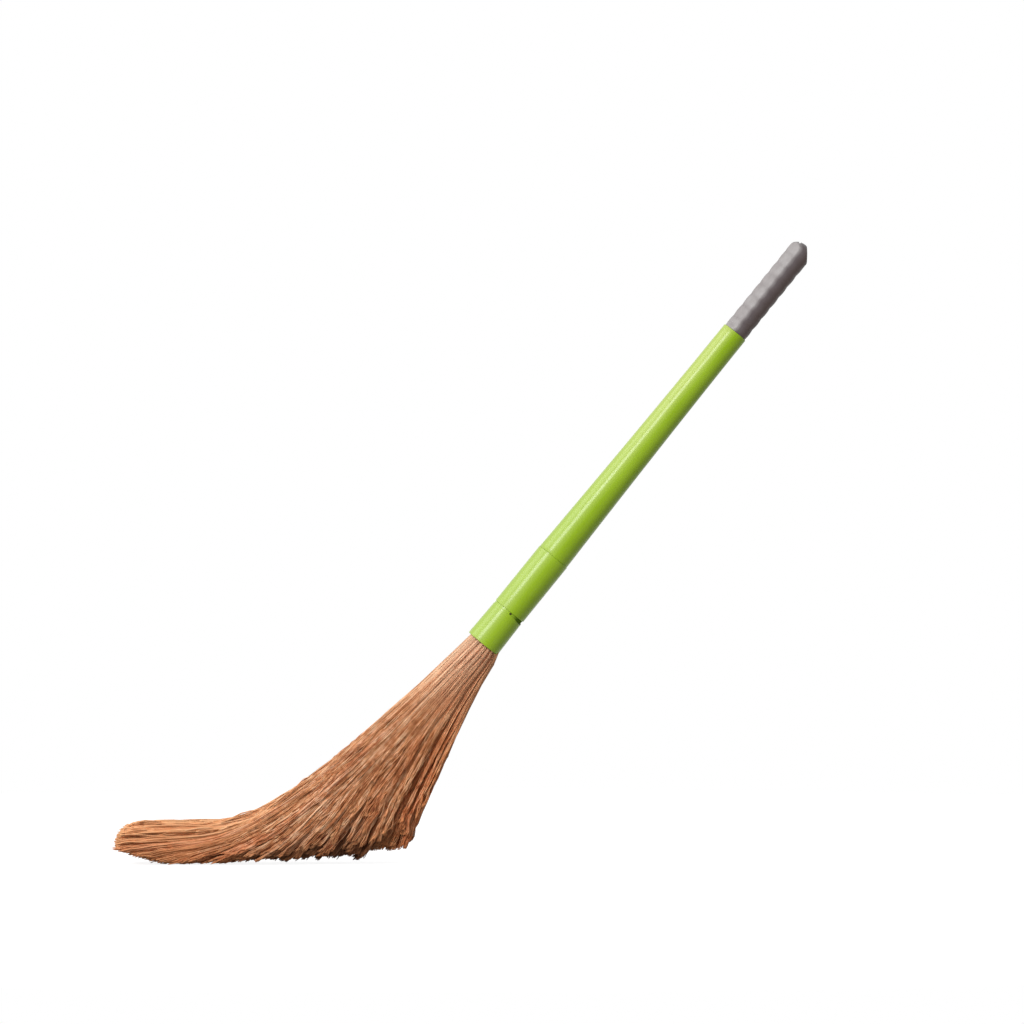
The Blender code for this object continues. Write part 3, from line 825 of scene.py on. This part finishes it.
def dressNode(name, material):
    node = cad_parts[name]
    node.data.materials.clear()
    node.data.materials.append(material)


dressNode("stop_plug", greenPlastic("green_plug", 0.41))
dressNode("binding_wire", dullSteel("wire_steel", 2.0))
# The pins' steel is darkened so that the pin holes read dark: painted shade.
pinShadeSteel = dullSteel("shaded_pin_steel", 0.12)
dressNode("collar_pin_front", pinShadeSteel)
dressNode("collar_pin_back", pinShadeSteel)


# Bristles

# Shares of the fan's width run from 0 at the tail's upper side to 1 at the heel's. A blend is
# (value at 0, value at 1, power of the share). A rise is (start, reach, size): nothing up to the
# start, and the whole size once the reach is passed. Some rises have a size of 1, left out.
fan = {
    "seed": 7,
    "fieldRadius": 0.01338,  # roots fill this circle
    "blockBottom": 0.016,  # face of the root blocks, inside the mouth
    "blockLength": 0.014,
    "blockRadius": 0.0140,
    "blockFill": 0.995,
    "blockGap": 0.00015,
    "blockSteps": 14,
    "rootBury": 0.004,  # how deep strands stand in the blocks
    "bands": 6,
    "departure": (math.radians(43.8), math.radians(64.4), 3.6),
    "arrival": (math.radians(2.8), math.radians(76.5), 1.34),
    "startHandle": (0.848, 0.526, 3.8),
    "endHandle": (0.306, 0.172, 1.0),
    "reach": (0.0769, 0.389, 1.22),  # from the heel to the nose
    "noseSetback": 0.023,
    "noseShare": 0.18,
    "nosePower": 3.3,
    "tailThickness": 0.0453,
    "tailShare": 0.30,
    "tailPower": 1.15,
    "middleLift": (0.50, 0.20, 0.0006),
    "heelLift": (0.800, 0.030, 0.0092),  # ends of the heel's side stand this much higher
    "halfDepth": (0.021, 0.036, 1.0),  # of the ends, with the fan's bulge as the share
    "mouthFill": (0.0056, 0.0034, 1.0),  # strands spread by as much to fill the collar's mouth
    "fillStart": (-0.012, 0.014),
    "fillEnd": (0.002, 0.046),
    "fillDepth": 1.38,
    "curveLength": 1.25,  # how much longer a strand's curve is than its chord
    "clumpPitch": (0.0021, 0.0018),  # across the fan and through it, at the roots
    "lockPitch": 0.00135,
    "rowPitch": 0.866,
    "lockField": 0.985,  # lock centres fill this share of the root circle's radius
    "lockJitter": 0.28,  # this one to strandJitter are in lock pitches, as is rowPitch
    "wispRing": (0.32, 0.54),
    "strandReach": 0.44,
    "strandJitter": 0.06,
    "latticeTurn": math.radians(17.0),
    "wispTurn": 0.35,
    "goldenAngle": 2.4,
    "wispsEach": 4,
    "strandsEach": 8,
    "pointShares": (0.0, 0.08, 0.16, 0.24, 0.31, 0.37, 0.43, 0.49, 0.55, 0.61, 0.67, 0.72, 0.77,
                    0.82, 0.86, 0.90, 0.93, 0.96, 0.98, 1.0),
    "outer": (0.32, 0.50),  # through the fan, where a lock counts as an outer one
    "edge": (0.0, 0.14),  # the fan's upper edge
    "heelSide": (0.30, 0.20),
    "middle": ((0.34, 0.12), (0.74, 0.12)),  # where the middle locks begin and end
    "wispGather": (0.08, 0.45, 0.60),
    "lockGather": (0.04, 0.75, 0.24),
    "floorGather": (0.45, 0.45, 0.30),  # more for the middle locks, which end on the floor
    "clumpGather": (0.50, 0.45, 0.26),
    "tailGather": (0.10, 1.0, 1.0),  # the tail gathers only this share as much
    "tailCalm": (0.25, 1.0, 1.0),  # and waves this share as much
    "gatherFrom": (0.12, 0.36),
    "waveFrom": (0.12, 0.30),
    "endSplay": (0.84, 0.16, 0.30),  # how much of the gathering the ends lose again
    "lockTrim": 0.008,  # how much shorter locks, wisps and strands may end, in metres
    "wispTrim": 0.006,
    "strandTrim": 0.012,
    "clumpTrim": 0.012,
    "lockStep": 0.008,  # more for locks and wisps on the heel's side, less for its strands
    "wispStep": 0.010,
    "strandStep": 0.75,
    "middleTrim": (0.25, 0.25, 0.030),  # front and back clumps step up, and more at the heel
    "heelTrim": (0.62, 0.20, 0.030),
    "heelStep": (0.56, 0.20, 0.038),  # its outer wisps end at so many heights
    "edgeTrim": (0.92, 0.08, 0.012),
    "shortShare": 0.42,  # so many outer wisps end early, by up to the length below
    "shortTrim": 0.220,
    "shortFade": (0.25, 0.625, 0.6),  # less so towards the heel
    "trimShape": (1.0, 3.0),  # of the beta distribution of the strands' own trims
    "lockWave": (0.0012, 0.12, 0.26),  # size, shortest and longest
    "wispWave": (0.0010, 0.06, 0.13),
    "strandWave": (0.0010, 0.14, 0.34),  # in lengths of the strand
    "wispKink": (0.0010, 0.014, 0.030),
    "strandKink": (0.0006, 0.010, 0.024),
    "kinkLength": 0.045,  # stretch above the tips where strands are kinked
    "swell": (0.03, 0.16),  # distances from the root over which waves grow
    "push": (0.3, 1.0),  # shares of its size that a wave may have
    "strayShare": 0.05,  # so many strands swing out further
    "edgeStrays": 0.35,  # and as many more at the fan's upper edge
    "straySwing": 2.8,
    "floorGap": (0.0009, 0.0006),  # lowest height of a strand, and how much more it may get
    "rootWidth": 0.00042,  # radii
    "fullWidth": (0.01, 0.17, 0.00004),
    "tailWidth": (0.20, 0.22, 0.00032),
    "tipWidth": 0.00040,
    "widthSpread": (0.72, 1.25),
    "lockTone": (0.5, 0.22),  # mean and spread of the locks' lightness
    "mapWidth": 0.96,  # what strands take of the bake map
    "mapRows": 3,
    "mapRim": (0.06, 0.02),
}


def rise(value, start, reach, size=1.0):
    return size * ease((value - start) / reach)


def blend(low, high, power, share):
    return low + (high - low) * share ** power


def fanControls(across):
    # Cubic curve of a strand rooted that far across the fan, as (x, z) under the mouth.
    f = fan
    share = np.clip(0.5 + across / (2 * f["fieldRadius"]), 0, 1)
    departure, arrival, start, end = (blend(*f[key], share)[..., None] for key in (
        "departure", "arrival", "startHandle", "endHandle"))
    inner = np.clip((share - f["noseShare"]) / (1 - f["noseShare"]), 0, 1)
    nose = np.maximum(1 - share / f["noseShare"], 0) ** f["nosePower"]
    tail = np.maximum(1 - share / f["tailShare"], 0) ** f["tailPower"]
    lift = rise(share, *f["middleLift"]) + rise(share, *f["heelLift"])
    root = (np.array((0, stance["mouthHeight"])) + across[..., None] * underside[[0, 2]]
            + f["blockBottom"] * upHandle[[0, 2]])
    tip = np.stack((f["noseSetback"] * nose - blend(*f["reach"], 1 - inner),
                    f["tailThickness"] * tail + lift), axis=-1)
    chord = np.linalg.norm(tip - root, axis=-1, keepdims=True)
    firstArm = root - chord * start * np.concatenate((np.cos(departure), np.sin(departure)), -1)
    lastArm = tip + chord * end * np.concatenate((np.cos(arrival), np.sin(arrival)), -1)
    return root, firstArm, lastArm, tip, share


def fanPoint(across, depth, s):
    # Point of the family at share s of its curve, (1-s)^3 a + 3 (1-s)^2 s b + 3 (1-s) s^2 c
    # + s^3 d. depth is -1 at the front and 1 at the back.
    f = fan
    root, firstArm, lastArm, tip, share = fanControls(across)
    t = s[..., None]
    place = ((1 - t) ** 3 * root + 3 * (1 - t) ** 2 * t * firstArm
             + 3 * (1 - t) * t ** 2 * lastArm + t ** 3 * tip)
    bulge = np.sqrt(np.clip(1 - (2 * share - 1) ** 2, 0, 1))
    rootDepth = f["fieldRadius"] * bulge
    below = -place[..., 0] * upHandle[0] - (place[..., 1] - stance["mouthHeight"]) * upHandle[2]
    fill = blend(*f["mouthFill"], share) * rise(below, *f["fillStart"])
    fill = fill * (1 - rise(below, *f["fillEnd"]))
    y = depth * (rootDepth + (blend(*f["halfDepth"], bulge) - rootDepth) * s
                 + f["fillDepth"] * fill * bulge)
    spread = fill * (2 * share - 1)
    return np.stack((place[..., 0] + spread * underside[0], y,
                     place[..., 1] + spread * underside[2]), axis=-1)


def lockCentres(random):
    # Root circle filled by staggered rows of lock centres, each pushed a little off its place.
    f = fan
    pitch, jitter, turn = f["lockPitch"], f["lockJitter"], f["latticeTurn"]
    count = int(2 * f["fieldRadius"] / pitch) + 2
    i, j = np.meshgrid(np.arange(-count, count + 1), np.arange(-count, count + 1), indexing="ij")
    row = j.ravel() * pitch * f["rowPitch"]
    column = (i.ravel() + 0.5 * (j.ravel() % 2)) * pitch
    across = row * math.cos(turn) - column * math.sin(turn)
    depth = row * math.sin(turn) + column * math.cos(turn)
    across = across + random.uniform(-jitter, jitter, across.shape) * pitch
    depth = depth + random.uniform(-jitter, jitter, depth.shape) * pitch
    keep = np.hypot(across, depth) < f["fieldRadius"] * f["lockField"]
    return across[keep], depth[keep]


def circleArea():
    # Levels from -1 to 1, and the share of a circle's area that lies below each.
    level = np.linspace(-1, 1, 2001)
    return level, 0.5 + (level * np.sqrt(1 - level ** 2) + np.arcsin(level)) / np.pi


def halfChord(across):
    return np.sqrt(np.clip(fan["fieldRadius"] ** 2 - across ** 2, 1e-8, None))


def plantRoots(random):
    # Clumps hold locks, locks hold wisps and wisps hold strands. Wisps stand round their lock's
    # centre, and strand k of n stands sqrt((k + 1/2) / n) of the reach out from its wisp's.
    f = fan
    pitch = f["lockPitch"]
    r = SimpleNamespace()
    r.lockAcross, r.lockDepth = lockCentres(random)
    r.locks = len(r.lockAcross)
    r.wisps = r.locks * f["wispsEach"]
    r.strands = r.wisps * f["strandsEach"]
    r.wispLock = np.repeat(np.arange(r.locks), f["wispsEach"])
    r.strandWisp = np.repeat(np.arange(r.wisps), f["strandsEach"])
    r.strandLock = r.wispLock[r.strandWisp]
    angle = random.uniform(0, 2 * np.pi, r.locks)[r.wispLock] \
        + np.arange(r.wisps) * 2 * np.pi / f["wispsEach"] \
        + random.uniform(-f["wispTurn"], f["wispTurn"], r.wisps)
    out = random.uniform(*f["wispRing"], r.wisps) * pitch
    r.wispAcross = r.lockAcross[r.wispLock] + out * np.cos(angle)
    r.wispDepth = r.lockDepth[r.wispLock] + out * np.sin(angle)
    count = np.arange(r.strands) % f["strandsEach"]
    angle = random.uniform(0, 2 * np.pi, r.wisps)[r.strandWisp] + count * f["goldenAngle"]
    out = (np.sqrt((count + 0.5) / f["strandsEach"]) * f["strandReach"]
           + random.uniform(-f["strandJitter"], f["strandJitter"], r.strands)) * pitch
    across = r.wispAcross[r.strandWisp] + out * np.cos(angle)
    depth = r.wispDepth[r.strandWisp] + out * np.sin(angle)
    tooFar = np.maximum(np.hypot(across, depth) / f["fieldRadius"], 1)
    r.across, r.depth = across / tooFar, depth / tooFar

    # The locks of one cell of a staggered grid make a clump, draw together and end alike.
    cellDepth = np.round(r.lockDepth / f["clumpPitch"][1]).astype(int)
    cellAcross = np.round(r.lockAcross / f["clumpPitch"][0] + 0.5 * (cellDepth % 2)).astype(int)
    _, r.lockClump = np.unique(cellAcross * 1000 + cellDepth, return_inverse=True)
    members = np.bincount(r.lockClump)
    r.clumps = len(members)
    r.clumpAcross = np.bincount(r.lockClump, r.lockAcross) / members
    r.clumpDepth = np.bincount(r.lockClump, r.lockDepth) / members

    r.lockShare = 0.5 + r.lockAcross / (2 * f["fieldRadius"])
    r.outer = rise(np.abs(r.lockDepth) / halfChord(r.lockAcross), *f["outer"])
    r.edge = 1 - rise(r.lockShare, *f["edge"])
    return r


def strandTrims(r, random):
    # Shorter ends, in metres: a little everywhere, and more on the heel's outer clumps.
    f = fan
    heelSide = rise(r.lockShare, *f["heelSide"])
    lockTrim = random.uniform(0, 1, r.locks) * (f["lockTrim"] + f["lockStep"] * heelSide) \
        + random.uniform(0, 1, r.clumps)[r.lockClump] * (
            f["clumpTrim"] * heelSide + r.outer * (rise(r.lockShare, *f["middleTrim"])
                                                   + rise(r.lockShare, *f["heelTrim"]))) \
        + rise(r.lockShare, *f["edgeTrim"])
    loose = np.maximum(r.outer, r.edge)[r.wispLock]
    own = f["wispTrim"] + f["wispStep"] * heelSide[r.wispLock]
    wispTrim = random.uniform(0, 1, r.wisps) * own \
        + (random.uniform(0, 1, r.wisps) < f["shortShare"] * loose) \
        * random.uniform(0, f["shortTrim"], r.wisps) \
        * (1 - rise(r.lockShare, *f["shortFade"]))[r.wispLock] \
        + random.uniform(0, 1, r.wisps) \
        * (r.outer * rise(r.lockShare, *f["heelStep"]))[r.wispLock]
    return lockTrim[r.strandLock] + wispTrim[r.strandWisp] \
        + random.beta(*f["trimShape"], r.strands) * f["strandTrim"] \
        * (1 - f["strandStep"] * heelSide[r.strandLock])


def gathered(r, s, t):
    # Points of the family for strands that draw towards their wisp's centre, then the lock's and
    # the clump's. s is the share of the family's curve, t that of the strand.
    f = fan
    smooth = blend(*f["tailGather"], rise(r.lockShare, *f["gatherFrom"]))
    smooth = smooth[r.strandLock][:, None] * (1 - rise(t, *f["endSplay"]))
    start, end = f["middle"]
    middle = (rise(r.lockShare, *start) * (1 - rise(r.lockShare, *end)))[r.strandLock][:, None]
    wisp, lock, floor, clump = (rise(s, *f[key]) for key in (
        "wispGather", "lockGather", "floorGather", "clumpGather"))
    wisp, lock, clump = wisp * smooth, (lock + floor * middle) * smooth, clump * smooth

    def drawn(own, wispPlace, lockPlace, clumpPlace):
        place = own[:, None] + (wispPlace[r.strandWisp] - own)[:, None] * wisp
        place = place + (lockPlace[r.strandLock][:, None] - place) * lock
        return place + (clumpPlace[r.lockClump[r.strandLock]][:, None] - place) * clump

    across = drawn(r.across, r.wispAcross, r.lockAcross, r.clumpAcross)
    depth = drawn(r.depth, r.wispDepth, r.lockDepth, r.clumpDepth)
    return fanPoint(across, np.clip(depth / halfChord(across), -1, 1), s)


def waved(r, points, run, random):
    # Each lock, wisp and strand swings from side to side by its own slow sine of the distance run.
    f = fan
    tangent = unit(np.gradient(points, axis=1))
    sideways = unit(np.stack((-tangent[..., 2], np.zeros_like(run), tangent[..., 0]), axis=2))
    calm = blend(*f["tailCalm"], rise(r.lockShare, *f["waveFrom"]))
    swell = rise(run, *f["swell"])
    calmed = swell * calm[r.strandLock][:, None]
    kink = ease(1 - (run[:, -1:] - run) / f["kinkLength"])
    stray = f["strayShare"] + f["edgeStrays"] * r.edge[r.strandLock]
    free = swell * (1 + f["straySwing"] * (random.uniform(0, 1, r.strands) < stray)[:, None])
    each = np.arange(r.strands)
    for key, owner, count, measure, where in (
            ("lockWave", r.strandLock, r.locks, 1, calmed),
            ("wispWave", r.strandWisp, r.wisps, 1, calmed),
            ("strandWave", each, r.strands, run[:, -1:], free),
            ("wispKink", r.strandWisp, r.wisps, 1, kink), ("strandKink", each, r.strands, 1, kink)):
        size, low, high = f[key]
        for direction in (sideways, np.array((0.0, 1.0, 0.0))):
            phase = random.uniform(0, 2 * np.pi, count)[owner][:, None]
            wave = random.uniform(low, high, count)[owner][:, None] * measure
            push = random.uniform(*f["push"], count)[owner][:, None] * size
            swing = push * where * np.sin(2 * np.pi * run / wave + phase)
            points = points + direction * swing[..., None]
    gap, spread = f["floorGap"]
    lifted = gap + spread * random.uniform(0, 1, (r.strands, 1))
    points[..., 2] = np.where(points[..., 2] < gap, lifted, points[..., 2])
    return points


def growStrands():
    # Centre lines, radii, the numbers that the material reads, and the tuft of each strand, one of
    # six slices of equal area across the root circle by two through it.
    f = fan
    random = np.random.default_rng(f["seed"])
    r = plantRoots(random)
    trim = strandTrims(r, random)
    root, _, _, tip, _ = fanControls(r.across)
    t = np.array(f["pointShares"])[None, :]
    s = t * (1 - trim / (np.linalg.norm(tip - root, axis=1) * f["curveLength"]))[:, None]
    points = gathered(r, s, t)
    length = np.linalg.norm(np.diff(points, axis=1), axis=2)
    run = np.concatenate((np.zeros((r.strands, 1)), np.cumsum(length, axis=1)), axis=1)
    points = waved(r, points, run, random) + foot
    points[:, 0] += f["rootBury"] * upHandle
    radii = (f["rootWidth"] + rise(run, *f["fullWidth"]) + rise(run, *f["tailWidth"])) \
        * random.uniform(*f["widthSpread"], r.strands)[:, None]
    radii[:, -1] = f["tipWidth"]
    fibre = np.stack(np.broadcast_arrays(run, t, random.uniform(0, 1, r.strands)[:, None]), axis=-1)
    lock = np.stack((random.uniform(0, 1, r.wisps)[r.strandWisp],
                     np.clip(random.normal(*f["lockTone"], r.locks), 0, 1)[r.strandLock],
                     0.5 + r.across / (2 * f["fieldRadius"])), axis=-1)
    clump = np.stack((random.uniform(0, 1, r.clumps)[r.lockClump], 1 - r.outer,
                      random.uniform(0, 1, r.clumps)[r.lockClump]), axis=-1)[r.strandLock]
    area = np.interp(r.lockAcross / f["fieldRadius"], *circleArea())
    band = np.clip((area * f["bands"]).astype(int), 0, f["bands"] - 1)
    return points, radii, (fibre, lock, clump), (2 * band + (r.lockDepth > 0))[r.strandLock]


def strandMesh(name, points, radii, numbers, random, block, blockFaces):
    # Three-sided tubes: ring k of a strand is its point plus radius * (cos a * n1 + sin a * n2),
    # with a = own turn + 2 pi k / 3. Both ends are closed by a triangle. The root block joins them.
    strands, rings = radii.shape
    sides = 3
    tangent = unit(np.gradient(points, axis=1))
    first = unit(np.cross(tangent, np.array((0.0, 1.0, 0.0))))
    second = np.cross(tangent, first)
    turn = (random.uniform(0, 2 * np.pi, strands)[:, None, None]
            + 2 * np.pi * np.arange(sides)[None, None, :] / sides)
    ring = radii[..., None, None] * (np.cos(turn)[..., None] * first[:, :, None, :]
                                     + np.sin(turn)[..., None] * second[:, :, None, :])
    vertices = (points[:, :, None, :] + ring).reshape(-1, 3)
    start = np.arange(strands)[:, None, None] * rings * sides
    i, k, quads = ringQuads(rings, sides)
    quads = (start + quads[:, [0, 3, 2, 1]]).reshape(-1, 4)
    triangles = np.concatenate((start[:, 0] + np.array((2, 1, 0)),
                                start[:, 0] + (rings - 1) * sides + np.arange(3)))

    # Bake map: the strands side by side in three rows, then the root block's faces in a column.
    rows, (rimU, rimV) = fan["mapRows"], fan["mapRim"]
    columns = int(math.ceil(strands / rows))
    width = fan["mapWidth"] / columns
    column, row = np.arange(strands) % columns, np.arange(strands) // columns
    u0, u1 = ((column[:, None] + rimU + (1 - 2 * rimU) * side / sides) * width
              for side in (k, k + 1))
    v0, v1 = ((row[:, None] + rimV + (1 - 2 * rimV) * ring / (rings - 1)) / rows
              for ring in (i, i + 1))
    quadMap = np.stack((u0, v0, u1, v0, u1, v1, u0, v1), axis=-1).reshape(-1, 2)
    capAt = np.stack(((column + 0.5) * width, (row + rimV) / rows), axis=1)
    capEnd = capAt + np.array((0, (1 - 2 * rimV) / rows))
    low = fan["mapWidth"] + 0.002
    cell = np.array(((0, 0), (0.8, 0), (0.8, 0.8), (0, 0.8)))[None]
    place = np.arange(len(blockFaces))[:, None, None] * np.array((0.0, 1.0))
    blockMap = ((cell + place) * np.array((0.99 - low, 1 / len(blockFaces)))
                + np.array((low, 0))).reshape(-1, 2)
    mesh = newMesh(name, np.concatenate((vertices, block)),
                   np.concatenate((quads, blockFaces + len(vertices))), triangles,
                   np.concatenate((quadMap, blockMap, np.repeat(capAt, 3, axis=0),
                                   np.repeat(capEnd, 3, axis=0))))
    extra = np.tile((0.0, 0.0, 0.5), (len(block), 1))
    for key, values in zip(("fibre", "lock", "clump"), numbers):
        if values.ndim == 3:
            values = np.repeat(values[:, :, None, :], sides, axis=2).reshape(-1, 3)
        else:
            values = np.repeat(values, rings * sides, axis=0)
        attribute = mesh.attributes.new(key, "FLOAT_VECTOR", "POINT")
        attribute.data.foreach_set(
            "vector", np.concatenate((values, extra)).astype(np.float32).ravel())
    return mesh


def rootBlock(number):
    # One of twelve slices of a short cylinder: straight inner side, outer side on
    # depth = sqrt(radius^2 - across^2). Columns of four corners run across the slice.
    f = fan
    level, area = circleArea()
    band, back = number // 2, number % 2
    low, high = np.interp((band / f["bands"], (band + 1) / f["bands"]), area, level) \
        * (f["blockRadius"] * f["blockFill"])
    across = np.linspace(low + f["blockGap"], high - f["blockGap"], f["blockSteps"])
    outer = np.sqrt(f["blockRadius"] ** 2 - across ** 2)
    inner = np.minimum(f["blockGap"], outer / 2)
    depth = np.stack((inner, outer, outer, inner), axis=1)[..., None] * (1 if back else -1)
    height = f["blockBottom"] + np.array((0, 0, 1, 1))[:, None] * f["blockLength"]
    points = (mouth + height * upHandle + across[:, None, None] * underside
              + depth * np.array((0, 1, 0))).reshape(-1, 3)
    last = 4 * (f["blockSteps"] - 1)
    faces = np.concatenate((ringQuads(f["blockSteps"], 4)[2],
                            ((0, 1, 2, 3), (last + 3, last + 2, last + 1, last))))
    return points, faces[:, ::-1] if back else faces


fibreMaterial = dryFibre("dry_fibre")
points, radii, numbers, tuft = growStrands()
turnRandom = np.random.default_rng(fan["seed"] + 1)
for number in range(2 * fan["bands"]):
    mine = tuft == number
    name = f"bristles_{number + 1:02d}"
    mesh = strandMesh(name, points[mine], radii[mine], [values[mine] for values in numbers],
                      turnRandom, *rootBlock(number))
    addPiece(name, mesh, fibreMaterial, [f"bristle_tuft_{number + 1:02d}"])
print("bristles", len(points), "strands")


# Floor, light and air

studio = {
    "floorColour": (0.30, 0.30, 0.30),
    "floorRoughness": 0.9,
    "floorReach": 1.6,
    "floorSides": 96,
    "handleMiddle": 0.25,  # up the handle from the mouth
    "floorLift": 0.88,  # makes the floor read white to the camera, shadow kept
    "airLevel": 0.10,  # all round
    "airFront": 0.36,  # and more from the viewer's side
    "lamps": {  # angle from the viewer's side round the handle, and distance
        "key": {"angle": math.radians(45.0), "away": 3.05, "size": (1.0, 1.2), "power": 66.0},
        "side": {"angle": math.radians(86.0), "away": 3.0, "size": (1.8, 1.2), "power": 27.0},
    },
}


def studioFloor():
    mesh = bpy.data.meshes.new("floor")
    turn = turns(studio["floorSides"])[0]
    rim = studio["floorReach"] * np.stack((np.cos(turn), np.sin(turn), 0 * turn), axis=1)
    mesh.from_pydata(rim.tolist(), [], [list(range(len(rim)))])
    floor = addObject("floor", mesh)
    material, tree, shader = newMaterial("pale_floor")
    setSockets(tree, shader, {"Base Color": studio["floorColour"],
                              "Roughness": studio["floorRoughness"]})
    path = addNode(tree, "LightPath", {})
    seen = calc(tree, "MAXIMUM", path["Is Camera Ray"], path["Is Glossy Ray"])
    glow = addNode(tree, "Emission", {"Strength": times(tree, seen, studio["floorLift"])})[0]
    both = addNode(tree, "AddShader", {0: shader.outputs[0], 1: glow})[0]
    setSockets(tree, tree.nodes["Material Output"], {"Surface": both})
    mesh.materials.append(material)


def studioAir():
    world = bpy.data.worlds.new("air")
    bpy.context.scene.world = world
    world.use_nodes = True
    tree = world.node_tree
    path = addNode(tree, "LightPath", {})
    way = axes(tree, addNode(tree, "TexCoord", {})["Generated"])
    light = span(tree, way[1], 0.0, -1.0, studio["airLevel"],
                 studio["airLevel"] + studio["airFront"])
    light = calc(tree, "MAXIMUM", light, path["Is Camera Ray"], path["Is Glossy Ray"],
                 path["Is Transmission Ray"])
    setSockets(tree, tree.nodes["Background"], {"Color": (1, 1, 1), "Strength": light})


def studioLamp(name, setting):
    # Stands off the handle's middle with its long side in line with the handle.
    lampData = bpy.data.lights.new(name, "AREA")
    lampData.shape = "RECTANGLE"
    lampData.size, lampData.size_y = setting["size"]
    lampData.energy = setting["power"]
    lamp = addObject(name, lampData)
    back = (math.cos(setting["angle"]) * frontSide - math.sin(setting["angle"]) * underside)
    side = np.cross(upHandle, back)
    turn = Matrix(np.stack((side, upHandle, back), axis=1).tolist()).to_4x4()
    turn.translation = mouth + studio["handleMiddle"] * upHandle + setting["away"] * back
    lamp.matrix_world = turn


studioFloor()
studioAir()
for name, setting in studio["lamps"].items():
    studioLamp(name, setting)
bpy.context.scene.view_settings.view_transform = "Standard"
